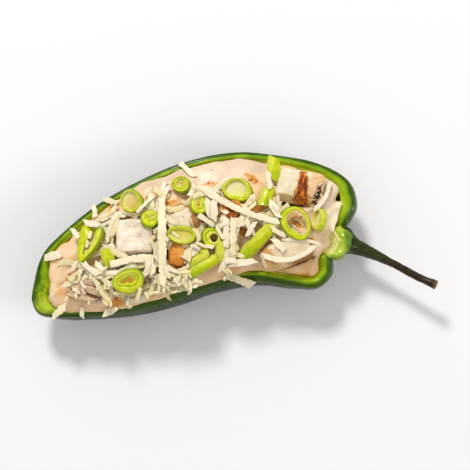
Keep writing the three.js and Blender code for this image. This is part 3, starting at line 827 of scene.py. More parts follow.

# %% [markdown]
# Seasoning has run into the cream, and slits show where it has drawn away from a chunk; their dark brown is
# painted shade. Two of the seasoning patches also paint shade. Each is a long patch with a ragged edge,
# listed by its place, size and turn.

# %% Smears and slits
# Smears of orange seasoning in the cream: place, half length, half width and turn in degrees.
SMEARS = [
    (-4.2, 13.2, 4, 2, 10), (13.8, 17, 6.5, 1.9, -3), (34.1, 15.7, 4.5, 1.6, -50), (33.7, 2.4, 4, 2.4, 10),
    (24.4, -6.2, 3.5, 2, -35), (52.8, -16.7, 2.5, 1.5, 0), (-29.4, 17, 5, 0.9, 12), (-12, 18.7, 3.6, 0.8, 20),
    (-24.8, 10.9, 5, 1, 12), (-35.8, -5, 2.5, 1.6, 0), (-22, -23.2, 3, 2.4, 0), (-37.6, -24.5, 4, 2.4, 0),
    (-48.3, -6.1, 4, 1.3, -40), (-5.1, -14.6, 4.5, 2.2, 10), (48.9, -7.4, 4, 2.2, -60), (16, -1, 2, 3, 0),
    # painted shade: this smear is a brown line along the inner side of the near rim
    (44, -30.4, 8, 1.2, -12),
]
# Fainter stains of it, in the same form. The second is painted golden shade below the near side of
# chicken_6.
STAINS = [(-57.8, -15.6, 5.5, 3.4, -20), (50.5, -27.5, 5.5, 4, 0), (17.7, -20, 6, 3, 10)]
# Slits where the cream has drawn away from a chunk, sunk and painted dark brown as shade: as a smear, and
# then how deep the slit is.
SLITS = [
    (49.5, 0.8, 8, 1.5, -22, 2.6), (-10.4, -7.4, 5, 1.1, 82, 2.4), (-20.6, -6.2, 5, 0.9, 22, 1.6),
    (-43.9, -13.6, 4.4, 0.8, -50, 1.4), (-40.4, -11.8, 1.4, 0.8, 10, 1.2), (23.5, 3, 2.2, 0.8, -60, 1.2),
    (-13.6, -1.6, 0.7, 0.5, 0, 0.8), (29.6, 8.6, 2.4, 0.9, -60, 1.4), (46.8, -24.8, 8, 0.9, 8, 1.2),
]
# Places where the cream is cleanest and palest, and where its colour is also painted light that lifts the
# shade on slopes facing away from the lamp and beside the slices: middle and half widths.
FAIR_AND_LIT = [(20, 25, 36, 9), (66, -4, 9, 17), (-36, 6, 6, 12), (-11, 25, 12, 4.5)]


def patch_at(points, x, y, half_long, half_wide, turn):
    """1 in the middle of a long patch with a ragged edge, falling to 0 outside it."""
    dx, dy = points[:, 0] - x, points[:, 1] - y
    c, s = math.cos(math.radians(turn)), math.sin(math.radians(turn))
    far = np.hypot((dx * c + dy * s) / half_long, (dy * c - dx * s) / half_wide)
    return 1 - ramp(far + 0.35 * grain_at(points, 1.6, 30), 0.5, 1.3)


print("smears, stains and slits:", len(SMEARS), len(STAINS), len(SLITS))

# %% [markdown]
# The filling is one closed skin: rings down the cavity's wall, three round the rolled edge, and 64 over the
# top. They lie closer towards the edge, where the cream curves most.

# %% Build the cream
cavity = WALLS + 2 * GAP
fill_rings = [skin_ring(cavity, down) for down in (1, 0.8, 0.6, 0.45, 0.3, WIDEST, 0.1, 0.03)]
lift = GAP - DIP * SUNK
fill_rings.append(rim_ring(np.maximum(WALLS - 0.9, FILL_INSET), lift))
fill_rings.append(rim_ring(FILL_INSET + 0.25, lift + 0.05))
fill_rings.append(rim_ring(FILL_INSET + 0.02, lift + 0.35))
mound_outs = 1 - np.linspace(0, 1, 64) ** 1.5
fill_out = np.concatenate([np.ones(len(fill_rings)), mound_outs])
fill_rings += [mound_ring(out) for out in mound_outs]
cream_finish = Finish("cream", {
    "Roughness": 0.42, "Specular IOR Level": 0.35, "Coat Weight": 0.08, "Coat Roughness": 0.2,
    "Subsurface Weight": 0.3, "Subsurface Scale": 0.005,
})
cream = make_piece(
    "cream_filling",
    np.concatenate(fill_rings),
    ring_faces(len(fill_rings), COLUMNS),
    {
        "out": np.repeat(fill_out, COLUMNS), "along": np.tile(ALONG, len(fill_rings)),
        "gap": np.tile(drawn_away, len(fill_rings)),
    },
    cream_finish.material,
    merge=0.002,
)
cream_points = points_of(cream)
print("rings in the filling:", len(fill_rings))

# %% [markdown]
# The patches become traits for the finish, and the slits are also sunk into the mesh, so that they hold
# real shadow under their painted shade. Soft waves are pushed out last, and only above the cut.

# %% Mark and sink the cream
oil, slit_shade, drop = (np.zeros(len(cream_points)) for _ in range(3))
for smear in SMEARS:
    oil = np.maximum(oil, patch_at(cream_points, *smear))
for stain in STAINS:
    oil = np.maximum(oil, 0.4 * patch_at(cream_points, *stain))
for *place, depth in SLITS:
    dark = patch_at(cream_points, *place) * ramp(cream_points[:, 2], 26, 28)
    slit_shade, drop = np.maximum(slit_shade, dark), np.maximum(drop, depth * dark)
# painted shade: the gap where the cream has drawn away from the wall is painted as dark as a slit
wall_gap = ramp(trait_of(cream, "gap"), 0.25, 0.6) * ramp(trait_of(cream, "out"), 0.93, 0.97)
fair_and_lit = np.zeros(len(cream_points))
for x, y, half_long, half_wide in FAIR_AND_LIT:
    away = np.hypot((cream_points[:, 0] - x) / half_long, (cream_points[:, 1] - y) / half_wide)
    fair_and_lit = np.maximum(fair_and_lit, 1 - ramp(away + 0.2 * grain_at(cream_points, 6, 31), 0.6, 1.2))
for trait, values in (("oil", oil), ("slit_shade", np.maximum(slit_shade, wall_gap)), ("fair_and_lit", fair_and_lit)):
    add_trait(cream.data, trait, values)
cream_points[:, 2] -= drop
cream.data.vertices.foreach_set("co", (cream_points * MM).ravel())
cream.data.update()
above_cut = ramp(cream_points[:, 2], RIM_HEIGHT - 1, RIM_HEIGHT + 1)
waves = 0.7 * grain_at(cream_points, 9, 8) + 0.24 * grain_at(cream_points, 3.6, 9)
push(cream, above_cut * waves)
place_piece(cream, "filling", "filling")

# %% [markdown]
# Cream that has stood under hot chicken isn't white: it is a pale pinkish beige, with golden clouds where
# fat and seasoning have spread. It is cleanest along the far side and towards the stem, where its pale colour
# is partly painted light on slopes that face away from the lamp. It is warmest under the heap, where part of
# the gold is painted shade among the shreds, and at its edge.

# %% Finish of the cream
f = cream_finish
cloud = f.noise(9.0, 3)
patch = f.noise(3.2, 3)
outside_fair_and_lit = f.between(f.trait("fair_and_lit"), 0, 1, 1, 0.2)
pinkish = f.dapple(cloud, paint(224, 194, 166), paint(233, 210, 188), low=0.35, high=0.65)
fairest_and_lit = f.dapple(cloud, paint(209, 186, 169), paint(221, 204, 188), low=0.35, high=0.65)
# painted light: paler still towards the stem, where the cream slopes away from the lamp
fairest_and_lit = f.mix(f.between(f.trait("along"), 0.76, 0.86), fairest_and_lit, paint(247, 233, 209))
pinkish = f.mix(f.trait("fair_and_lit"), pinkish, fairest_and_lit)
golden_share = f.times(f.between(patch, 0.42, 0.68), f.between(f.trait("fair_and_lit"), 0, 1, 1, 0.3))
warm = f.mix(golden_share, pinkish, paint(230, 198, 158))
# partly seasoning, partly painted shade: golden cream in the hollows under the heap of shreds
under_heap_gold_and_shade = f.times(f.between(f.trait("out"), 0.4, 0.78, 0.85, 0), f.between(patch, 0.36, 0.6))
under_heap_gold_and_shade = f.times(under_heap_gold_and_shade, f.between(f.trait("along"), 0.6, 0.76, 0.9, 0))
under_heap_gold_and_shade = f.times(under_heap_gold_and_shade, outside_fair_and_lit)
warm = f.mix(under_heap_gold_and_shade, warm, paint(236, 202, 146))
edge_tone = f.times(f.between(f.trait("out"), 0.82, 1.0, 0, 0.5), outside_fair_and_lit)
warm = f.mix(edge_tone, warm, paint(226, 186, 128))
seasoning = f.dapple(f.noise(1.0, 3), paint(198, 124, 34), paint(234, 178, 88), low=0.35, high=0.65)
warm = f.mix(f.between(f.trait("oil"), 0.05, 0.9, 0, 0.9), warm, seasoning)
# painted shade: dark brown in the slits and in the gap at the wall
f.feed("Base Color", f.mix(f.between(f.trait("slit_shade"), 0.3, 0.95), warm, paint(52, 28, 6)))
f.bump(f.noise(4.0, 2), 0.25)
print("cream finished")

# %% [markdown]
# ## Grilled chicken
#
# Each chunk is a knife-cut block of breast meat. Grill bars burn brown bands across it, with black at their
# edges, and some chunks are soaked in orange seasoning. They could all be one shape in seven sizes, but
# each real one is cut and burnt in its own way, so a chunk is first written down as a row of looks.


# %% The chunks
class Chunk:
    """How one chunk lies, how it was cut and how it was grilled."""

    char = 0.0  # black flecks at its right end
    # painted shade with some browning: dark_low also darkens a slanted near side
    dark_low = 0.4  # how dark its lower edge is
    slant = 0.0  # how much of the near side is cut back
    cuts = 7  # knife cuts across its corners
    lilac = 0.0  # how much cool, pale meat it shows
    # painted shade: a black side standing in for the dark gap beside the chunk
    shaded_flank = 0.0  # how black the side is that would be the far one without its turn
    pulled = 0.0  # how deeply it is pulled into strands
    lit_end = 0.0  # how much of the near side's left end stays light
    shift = (0, 0)  # how far it lies from its solid's middle, in millimetres

    def __init__(self, name, size, turn, nod, tint, bands=(), **looks):
        self.name, self.size, self.turn, self.nod = name, size, turn, nod
        self.tint, self.bands = tint, bands
        for look, value in looks.items():
            setattr(self, look, value)


# Each is name, size, turn and nod in degrees, share of orange tint, then its grill bands and its other looks.
# A band is its place along the chunk, half its width and its strength.
CHICKEN = [
    Chunk("chicken_1", (21, 15, 12), -22, 2, 0.05, [(0.8, 3.1, 1.0)],
          char=1.0, dark_low=0.55, slant=0.48, cuts=3),
    Chunk("chicken_2", (16.4, 16.4, 11), -11, -2, 0.0,
          dark_low=0.75, slant=0.2, cuts=0, lilac=1.0, shift=(0.4, -1.0)),
    Chunk("chicken_3", (15, 10.5, 10), 14, 8, 0.15, [(4.6, 3.6, 0.55)],
          dark_low=0.3, lilac=0.3, shift=(0.3, -1.6)),
    Chunk("chicken_4", (16, 12.5, 10), -28, 12, 0.26, [(0.5, 10, 0.28)],
          dark_low=0.9, lilac=0.7, pulled=1.0),
    Chunk("chicken_5", (12.5, 9, 9), 76, -8, 1.0,
          dark_low=0.2, shaded_flank=1.0, shift=(0.6, 1.0)),
    Chunk("chicken_6", (23, 14, 11), 8, 14, 0.22, [(-7.8, 3.8, 0.4)],
          dark_low=1.2, slant=0.7, cuts=5, lilac=0.1, lit_end=0.6, shift=(-1.2, 0.4)),
    Chunk("chicken_7", (12, 9, 9), -30, -10, 0.7, [(0, 4.0, 0.9)],
          char=0.8, dark_low=0.6),
]
print("chunks of chicken:", len(CHICKEN))

# %% [markdown]
# A chunk starts as a ball that is drawn out to a rounded box. Planes then slice it as a knife would: one
# cuts the near side back at a slant where the real chunk shows that face, and a few take off corners. Grain
# runs along the meat, and deep furrows part the strands of a pulled piece. Slicing with a boolean would
# leave hard edges, while points that are only pressed back to the plane keep the soft look of cooked meat.

# %% Cutting a chunk
NEAR_LEAN = 0.9  # how steeply the slanted near side stands, in radians


def near_side(chunk):
    """The way that the slanted near side faces, and how far from the chunk's middle it lies."""
    facing = np.array([0, -math.sin(NEAR_LEAN), math.cos(NEAR_LEAN)])
    _, half_deep, half_tall = np.array(chunk.size) / 2
    return facing, half_deep * math.sin(NEAR_LEAN) * (1 - chunk.slant) + half_tall * math.cos(NEAR_LEAN)


def cut_block(chunk, seed):
    """The points of a chunk round its own middle, its faces, and a noise that is below 0 in its furrows."""
    ball = bmesh.new()
    bmesh.ops.create_icosphere(ball, subdivisions=6, radius=1)
    ball.verts.ensure_lookup_table()
    away = np.array([v.co[:] for v in ball.verts])
    faces = [[v.index for v in face.verts] for face in ball.faces]
    ball.free()
    half = np.array(chunk.size) / 2
    local = away * (np.abs(away / half) ** 8).sum(1, keepdims=True) ** (-1 / 8)
    if chunk.slant:
        facing, reach = near_side(chunk)
        local -= np.maximum(local @ facing - reach, 0)[:, None] * facing
    rng = np.random.default_rng(seed)
    for _ in range(chunk.cuts):
        cut_way = rng.normal(size=3) * [1, 1, 0.7]
        cut_way /= np.linalg.norm(cut_way)
        over = np.maximum(local @ cut_way - np.abs(half * cut_way).sum() * rng.uniform(0.66, 0.8), 0)
        local -= 0.85 * over[:, None] * cut_way
    grain = grain_at(local * [0.25, 1, 1], 1.6, seed) * 0.24 + grain_at(local, 4.5, seed + 40) * 0.4
    grain += grain_at(local, 0.9, seed + 80) * 0.04
    furrow = grain_at(local * [0.16, 1, 1], 1.25, seed + 320)
    local += away * (grain + 0.9 * chunk.pulled * furrow)[:, None]
    return local, faces, furrow


print("way that a slanted side faces:", near_side(CHICKEN[0])[0].round(2))

# %% [markdown]
# The grill's marks are numbers on the points, not a painted picture, so they stay on the meat wherever it
# turns. A band is brown across its width, and black where the bar's two edges pressed. The lower edge and a
# slanted near side are darker, partly from browning and partly as painted shade, and the black at the
# bottom of that side, in the furrows of pulled meat and on one flank of a chunk is painted shade too.


# %% Grill marks
def band_marks(chunk, local, blur, seed):
    """How brown and how black each point is from the grill's bars."""
    _, across, rise = (local / (np.array(chunk.size) / 2)).T
    top = ramp(rise, -0.2, 0.6)
    streak = grain_at(local * [1, 0.2, 1], 0.8, seed + 200)
    brown, black = np.zeros(len(local)), np.zeros(len(local))
    for at, width, strength in chunk.bands:
        reach = width * (1 - 0.5 * across) * (1 + 0.5 * streak)
        off = np.abs(local[:, 0] - at + 0.6 * blur + 0.6 * across) / reach
        brown = np.maximum(brown, strength * top * (1 - ramp(off, 0.5, 1.15)))
        burnt = hump(off, 0.75, 0.3) * ramp(streak + 0.5 * blur, 0.0, 0.45)
        burnt += ramp(streak, 0.4, 0.7) * (off < 0.8)
        black = np.maximum(black, 0.7 * strength * top * np.clip(burnt, 0, 1) * ramp(-across, -0.7, 0.3))
    return brown, black


def chunk_traits(chunk, local, furrow, seed):
    """Everything that the finish reads from a chunk's points."""
    blur = 0.9 * grain_at(local, 1.7, seed + 120) + 0.5 * grain_at(local, 0.8, seed + 160)
    along, across, rise = (local / (np.array(chunk.size) / 2)).T
    brown, black = band_marks(chunk, local, blur, seed)
    # darker towards the bottom: partly browning, partly painted shade
    low_edge = chunk.dark_low * ramp(-rise + 0.35 * blur, -0.6, 0.45)
    if chunk.slant:
        facing, reach = near_side(chunk)
        # painted shade: the slanted near side is darkened, and blackened along its bottom
        shaded = ramp(local @ facing + 0.2 * blur, reach - 0.9, reach - 0.1)
        shaded *= 1 - chunk.lit_end * ramp(-along, -0.3, 0.3)
        low_edge = np.maximum(low_edge, 0.42 * chunk.dark_low * shaded)
        black = np.maximum(black, 0.29 * chunk.dark_low * shaded)
        black = np.maximum(black, 0.55 * ramp(-across - 0.6 * rise + 0.25 * blur, 1.15, 1.6))
    speckled = ramp(grain_at(local * [1, 0.7, 1], 0.8, seed + 240) + 0.3 * blur, -0.3, 0.0)
    scorched = hump(along - 0.1 * across + 0.08 * blur, 0.8, 0.15)
    scorched *= ramp(-across, -1.0, 0.1) * ramp(rise, -0.6, 0.1)
    black = np.maximum(black, chunk.char * scorched * speckled)
    # painted shade: one side blackened as the dark gap beside the chunk
    black = np.maximum(black, chunk.shaded_flank * ramp(across + 0.12 * blur, 0.5, 0.8))
    # painted shade: browner and blacker in the furrows between pulled strands
    low_edge = np.maximum(low_edge, 0.7 * chunk.pulled * ramp(-furrow, 0.0, 0.4))
    black = np.maximum(black, 0.48 * chunk.pulled * ramp(-furrow, 0.12, 0.42))
    return {
        "tint": chunk.tint + 0.12 * blur + 0.5 * chunk.char * ramp(along, 0.1, 0.5),
        "brown": np.maximum(brown, low_edge),
        "black": black,
        "lilac": np.full(len(local), chunk.lilac),
        "fibre": 0.5 + 0.7 * grain_at(local * [1, 0.16, 1], 0.55, seed + 280),
    }


print("grill bands:", sum(len(chunk.bands) for chunk in CHICKEN))

# %% [markdown]
# Each chunk is set with its middle at the middle of its solid. It first nods round its own length and then
# turns round the upright axis.

# %% Build the chicken
chicken_finish = Finish("grilled_chicken", {
    "Specular IOR Level": 0.4, "Coat Weight": 0.25, "Coat Roughness": 0.2,
    "Subsurface Weight": 0.3, "Subsurface Scale": 0.002,
})


def chunk_piece(chunk, seed):
    """One chunk, cut, marked, turned and set in the cream."""
    local, faces, furrow = cut_block(chunk, seed)
    nod = Matrix.Rotation(math.radians(chunk.nod), 3, "X")
    turn = Matrix.Rotation(math.radians(chunk.turn), 3, "Z")
    low, high = (np.array(corner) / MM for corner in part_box(chunk.name))
    places = local @ np.array(turn @ nod).T + (low + high) / 2 + [*chunk.shift, 0]
    traits = chunk_traits(chunk, local, furrow, seed)
    piece = make_piece(chunk.name + "_meat", places, faces, traits, chicken_finish.material)
    return place_piece(piece, "chicken", chunk.name)


meat = [chunk_piece(chunk, seed) for seed, chunk in enumerate(CHICKEN)]

# %% [markdown]
# Cooked breast is warm white with cooler patches. Orange seasoning soaks in from outside, brown comes next,
# and black, which is char and painted shade, lies over everything, so the colours are mixed in that order.
# The brown of a band is streaked along its fibres, from deep rust to orange. Brown is also painted shade on
# the lower edges and the near sides.

# %% Finish of the chicken
f = chicken_finish
strand = f.noise(2.6, 2, stretch=(2.4, 1, 1))
white_meat = f.dapple(strand, paint(216, 204, 176), paint(236, 227, 208))
lilac_meat = f.dapple(f.noise(5.0, 3), paint(202, 186, 174), paint(240, 231, 222), low=0.36, high=0.6)
white_meat = f.mix(f.times(f.trait("lilac"), f.between(f.noise(3.5, 2), 0.35, 0.6)), white_meat, lilac_meat)
soaked = f.dapple(strand, paint(204, 130, 42), paint(230, 168, 84))
body = f.mix(f.between(f.trait("tint"), 0.1, 1.0), white_meat, soaked)
seared_and_shade = f.dapple(f.trait("fibre"), paint(112, 50, 6), paint(214, 128, 34), low=0.25, high=0.75)
# painted shade: where brown comes from a lower edge or a near side, these colours are painted shade
shade = f.mix(f.trait("lilac"), paint(200, 160, 84), paint(158, 112, 92))
shaded_body = f.mix(f.between(f.trait("lilac"), 0, 1, 1, 0.55), body, shade)
body = f.mix(f.between(f.trait("brown"), 0.05, 0.45), body, shaded_body)
seared_and_shade = f.mix(f.times(f.trait("lilac"), 0.8), seared_and_shade, paint(104, 66, 48))
body = f.mix(f.between(f.trait("brown"), 0.35, 0.8), body, seared_and_shade)
# black is char from the grill, and painted shade on near sides, on one flank and in furrows
f.feed("Base Color", f.mix(f.between(f.trait("black"), 0.15, 0.75), body, paint(44, 24, 8)))
f.feed("Roughness", f.between(f.noise(1.5, 2), 0.3, 0.7, 0.26, 0.46))
f.bump(strand, 0.05)
print("chicken finished")

# %% [markdown]
# ## What the toppings lie on
#
# Shreds and slices are laid one after another on a map of heights, half a millimetre to a cell, first read
# from the pepper, the cream and the chicken. Each thing that is laid down raises the map under it, so the
# next one rests on top, as in a real heap. A simulation of falling shreds would heap them as well, but no
# shred would end where the real one lies.


# %% Map of heights
class Ground:
    """How high everything reaches that has been put in place so far, seen from above."""

    CELL = 0.5
    LOW, HIGH = np.array([-82.0, -46.0]), np.array([84.0, 40.0])
    SKY = 80  # a height over everything

    def __init__(self, pieces):
        points, faces = [], []
        for piece in pieces:
            faces += [[len(points) + i for i in face.vertices] for face in piece.data.polygons]
            points += [Vector(p) for p in points_of(piece)]
        tree = BVHTree.FromPolygons(points, faces)
        self.size = ((self.HIGH - self.LOW) / self.CELL).astype(int)
        self.height = np.zeros(self.size)
        self.look_down(tree, *self.size)

    def look_down(self, tree, columns, rows, first=(0, 0)):
        """Raises each cell in the range to what lies under it."""
        for i in range(first[0], first[0] + columns):
            for j in range(first[1], first[1] + rows):
                x, y = self.LOW + (np.array([i, j]) + 0.5) * self.CELL
                hit = tree.ray_cast(Vector((x, y, self.SKY)), Vector((0, 0, -1)))[0]
                if hit is not None and hit.z > self.height[i, j]:
                    self.height[i, j] = hit.z

    def cells(self, xy):
        """The cells that places lie in, the nearest one for a place outside the map."""
        ij = ((xy - self.LOW) / self.CELL).astype(int)
        return np.clip(ij[..., 0], 0, self.size[0] - 1), np.clip(ij[..., 1], 0, self.size[1] - 1)

    def at(self, xy):
        """How high the map is at places."""
        return self.height[self.cells(xy)]

    def lay(self, xy, top):
        """Raises the map at the places to the heights given, where it is lower."""
        np.maximum.at(self.height, self.cells(xy), top)

    def lay_piece(self, piece):
        """Raises the map to a piece that has been put in place."""
        points = points_of(piece)
        polygons = [face.vertices[:] for face in piece.data.polygons]
        tree = BVHTree.FromPolygons([Vector(p) for p in points], polygons)
        low = ((points.min(0)[:2] - self.LOW) / self.CELL).astype(int)
        high = ((points.max(0)[:2] - self.LOW) / self.CELL).astype(int) + 1
        self.look_down(tree, *(high - low), low)


ground = Ground([pepper, core, cream, *meat])
bare = ground.height.copy()
print("highest point so far in millimetres:", round(float(ground.height.max()), 1))

# %% [markdown]
# ## Shreds of cheese
#
# A shred is a soft ribbon with a rounded section, slightly pinched at its torn ends. It bends in the plane
# it lies in and twists a little along its length. Over the map of heights it is draped: it rests on
# whatever is under it, but it can't bend sharply, so it bridges hollows as a cold shred does. All the
# shreds are one joined mesh, because hundreds of separate objects would be slow to handle and no one moves
# a single shred.


# %% How one shred is laid
SECTION = [(1, 0.5), (0.9, 0.92), (0.62, 1), (0, 1.04), (-0.62, 1), (-0.9, 0.92)]
SECTION += [(-c, -s) for c, s in SECTION]
FEELERS = np.linspace(-0.8, 0.8, 5)  # where a shred feels for the ground, as shares of half its width
CEILING = 42.3  # nothing in the heap is higher, in millimetres
STIFF = 0.05  # how sharply a shred can arch over what it lies on


def drape(rest, travelled):
    """The height of a middle line that rests on what is under it, without sharp bends."""
    z = (rest[None] - STIFF * (travelled[:, None] - travelled[None]) ** 2).max(1)
    for _ in range(12):
        z[1:-1] = np.maximum(rest[1:-1] - 0.2, (z[:-2] + 2 * z[1:-1] + z[2:]) / 4)
    return z


class Shreds:
    """Collects shreds into one mesh as they are laid on the ground."""

    def __init__(self, ground, seed):
        self.ground, self.rng = ground, np.random.default_rng(seed)
        self.points, self.faces, self.tone, self.total = [], [], [], 0

    def middle_line(self, start, end, bend, curl=0.0):
        """Points from start to end, bowed sideways by bend millimetres."""
        start, end = np.array(start, float), np.array(end, float)
        length = np.linalg.norm(end - start)
        share = np.linspace(0, 1, max(int(length / 0.8), 6))
        across = np.array([start[1] - end[1], end[0] - start[0]]) / length
        bow = bend * 4 * share * (1 - share) + curl * np.sin(2 * np.pi * share)
        return start + share[:, None] * (end - start) + bow[:, None] * across

    def widths(self, travelled, wide):
        """How much a shred is pinched at each step, and how uneven its width is."""
        blunt = self.rng.uniform(0.3, 1, 2) ** 0.6  # how wide each end is left
        from_ends = np.stack([travelled, travelled[-1] - travelled]) / (0.9 * wide)
        pinch = np.minimum(*(blunt[:, None] + (1 - blunt[:, None]) * np.minimum(from_ends, 1) ** 0.6))
        share = travelled / travelled[-1]
        uneven = 1 + 0.07 * np.sin(share * self.rng.uniform(4, 9) + self.rng.uniform(0, 6))
        return pinch, uneven + 0.04 * self.rng.normal(size=len(travelled))

    def add_skin(self, line, z, ahead, side, roll, half_wide, half_thick, wide, pinch):
        """Adds a shred's skin: its section at each step, with torn sides and slanted ends."""
        slants = self.rng.uniform(-0.45, 0.45, 2) * wide
        torn = 0.055 * wide * self.rng.normal(size=(2, len(line))) * pinch
        at_end = np.zeros((2, len(line)))
        at_end[0, 0] = at_end[1, -1] = 1
        for c, s in SECTION:
            flat = (half_wide + torn[int(c < 0)]) * c * np.cos(roll) - half_thick * s * np.sin(roll)
            rise = half_wide * c * np.sin(roll) + half_thick * s * np.cos(roll)
            skew = (slants[:, None] * c * at_end).sum(0)
            places = line + side * flat[:, None] + ahead * skew[:, None]
            self.points.append(np.column_stack([places, z + rise]))
        count, sides, base = len(line), len(SECTION), self.total
        for k in range(sides):
            a, b = base + k * count, base + (k + 1) % sides * count
            self.faces += [(a + i, b + i, b + i + 1, a + i + 1) for i in range(count - 1)]
        for end in (0, count - 1):
            self.faces.append(tuple(base + k * count + end for k in range(sides)))
        self.total += count * sides

    def cover(self, under, top):
        """Raises the ground where a shred now lies, at its steps and halfway between them."""
        top = np.repeat(top[:, None], len(FEELERS), 1)
        self.ground.lay(under.reshape(-1, 2), top.ravel())
        halfway = (under[1:] + under[:-1]) / 2
        self.ground.lay(halfway.reshape(-1, 2), ((top[1:] + top[:-1]) / 2).ravel())

    def lay(self, line, wide, thick, twist=0.0, sink=0.3, press=0.0, tone=0.0):
        """Lays one shred along a middle line, and returns False if it would stand too high.

        It sinks a little into what it lies on, and may be pressed down under the ceiling. Its colour is drawn
        between tone and 1, which is white.
        """
        steps = np.linalg.norm(np.diff(line, axis=0), axis=1)
        travelled = np.concatenate([[0], np.cumsum(steps)])
        ahead = np.gradient(line, axis=0)
        ahead /= np.linalg.norm(ahead, axis=1, keepdims=True)
        side = np.stack([-ahead[:, 1], ahead[:, 0]], 1)
        share = travelled / travelled[-1]
        roll = twist * np.sin(share * self.rng.uniform(1, 3) + self.rng.uniform(0, 6))
        pinch, uneven = self.widths(travelled, wide)
        half_wide, half_thick = wide / 2 * pinch * uneven, thick / 2 * (0.5 + 0.5 * pinch)
        reach = np.abs(half_wide * np.cos(roll)) + np.abs(half_thick * np.sin(roll))
        tall = np.abs(half_wide * np.sin(roll)) + np.abs(half_thick * np.cos(roll))
        under = line[:, None] + side[:, None] * (reach[:, None] * FEELERS)[..., None]
        z = drape(self.ground.at(under).max(1) + tall - sink, travelled)
        if (z + tall).max() - CEILING > press:
            return False
        z = np.minimum(z, CEILING - tall)
        self.add_skin(line, z, ahead, side, roll, half_wide, half_thick, wide, pinch)
        self.tone.append(np.full(len(line) * len(SECTION), self.rng.uniform(tone, 1)))
        self.cover(under, z + 0.8 * tall)
        return True


print("points round a shred's section:", len(SECTION))

# %% [markdown]
# Real cheese lies in the middle of a filling and slides off its edge. So loose shreds stay inside the
# outline and off the places where chicken, cream or a slice shows.


# %% Where loose shreds may lie
def far_from_edge(xy, margin):
    """True where all the points lie at least margin millimetres inside the pepper's outline."""
    away = np.linalg.norm(EDGE[None] - xy[:, None], axis=2)
    nearest = away.argmin(1)
    inside = ((xy - EDGE[nearest]) * INWARD[nearest]).sum(1) > 0
    return bool((inside & (away.min(1) > margin)).all())


# Places that stay almost free of loose shreds: middle and half widths.
CLEAR = [
    (55, 8, 11, 9), (38, 25, 16, 4.5), (68, 3, 7, 16), (60, -28, 9, 9), (20, -26, 18, 4.5),
    (-64, -8, 5, 14), (-24, 2.6, 8, 8), (-50, -17, 6.5, 5), (-7, -10, 4, 5.5), (40, -26, 14, 5),
    (-56, -24, 10, 4), (1, 6, 4.5, 4), (20.6, 4.8, 5, 4), (70, -14, 8, 8), (26, 13.6, 5, 4),
    (44, -19, 9, 4), (-4, 13.2, 3, 2), (13.8, 17.2, 5.6, 2.2), (34, 15.7, 2.5, 2.5), (-21, -6, 5, 1.6),
    (33.7, 2.4, 3, 2), (24.4, -6.2, 2.5, 2), (5, 2.8, 2.8, 3), (17, 25, 10, 3.4), (-12, 25, 9, 2.6),
    (37.9, 7.5, 4.6, 5), (0.6, 17, 4, 2.2),
]


def is_clear_of(line, zones):
    """True where a line stays out of every oval zone."""
    return all((((line - [x, y]) / [rx, ry]) ** 2).sum(1).min() > 1 for x, y, rx, ry in zones)


print("places kept clear:", len(CLEAR))

# %% [markdown]
# Eleven rings and five longer pieces of scallion lie on the cheese. They are listed before the lower
# shreds, because those must leave room for them. A slice's height and tilt aren't listed: its solid in the
# frame says.

# %% Slices and their sizes
# Each ring is: name, place, size, turn, the side where its bands are widest, and its layers. Each layer is
# (outer inset, inner inset, top below the slice's own, paleness).
RINGS = [
    ("scallion_ring_01", (-20.6, 17.7), (10.8, 9.8, 3), -25, -60, [(0, 0.85, 0, 0), (0.8, 1.2, 0.15, 0.8)]),
    ("scallion_ring_02", (2.4, 20.2), (8.4, 7.8, 4.2), 0, -100, [(0, 1.0, 0, 0.05), (0.95, 2.2, 0.4, 0.3)]),
    ("scallion_ring_03", (-14.2, 8.1), (8.6, 8.2, 2.6), 20, -120,
     [(0, 2.2, 0.1, 0.05), (2.15, 3.3, 0, 0.35)]),
    ("scallion_ring_04", (7.9, 9.4), (8.6, 7.6, 3), 70, -90, [(0, 1.7, 0, 0.15), (1.65, 2.9, 0.2, 0.4)]),
    ("scallion_ring_05", (26.2, 12.3), (14, 10.4, 3.6), -33, -80, [(0, 1.4, 0, 0), (1.35, 1.8, 0.3, 1)]),
    ("scallion_ring_06", (-2.2, -1.7), (13.8, 7.9, 2.4), -18, 60, [(0, 0.75, 0, 0.1), (0.7, 1.3, 0.35, 0.4)]),
    ("scallion_ring_07", (10.5, -5.7), (9.2, 8.8, 3.2), 0, 160, [(0, 1.3, 0.1, 0), (1.25, 2.7, 0, 0.6)]),
    ("scallion_ring_08", (-42.9, 4.3), (20, 9.6, 3.4), 62, 150, [(0, 3.1, 0, 0)]),
    ("scallion_ring_09", (-29.6, -16.4), (14, 11.4, 3), 5, -90, [(0, 2.4, 0.1, 0.1), (2.35, 3.9, 0.2, 0.05)]),
    ("scallion_ring_10", (48, -7.8), (16.6, 12.2, 3), -74, 200, [(0, 1.9, 0, 0.02), (1.85, 2.4, 0.3, 0.7)]),
    ("scallion_ring_11", (58.8, -8.8), (10.4, 7.8, 3.2), 62, -40, [(0, 1.3, 0, 0.6), (1.25, 1.9, 0.3, 0.9)]),
]
# Each strip is: name, place, size, turn, and how slanted its ends are.
STRIPS = [
    ("scallion_strip_1", (-36.2, -4.6), (8.4, 5.6), 98, 0.2),
    ("scallion_strip_2", (4.9, -17), (16.8, 5.2), 18, 0.5),
    ("scallion_strip_3", (29, -12.4), (22, 6.4), 35, 0.6),
    ("scallion_strip_4", (37.9, 6.5), (8.8, 6), 60, -0.2),
    ("scallion_strip_5", (44.1, 18), (10.4, 6), 77, 0.5),
]
print("slices:", len(RINGS) + len(STRIPS))

# %% [markdown]
# Most of the heap is scattered by seeded dice, thicker in the middle. Its shreds agree with the real ones
# in number, length and width, which is enough where no shred stands out from the others.

# %% The lower layer of shreds
LOWER_SHREDS = 118
shreds = Shreds(ground, 11)
dice = random.Random(4)


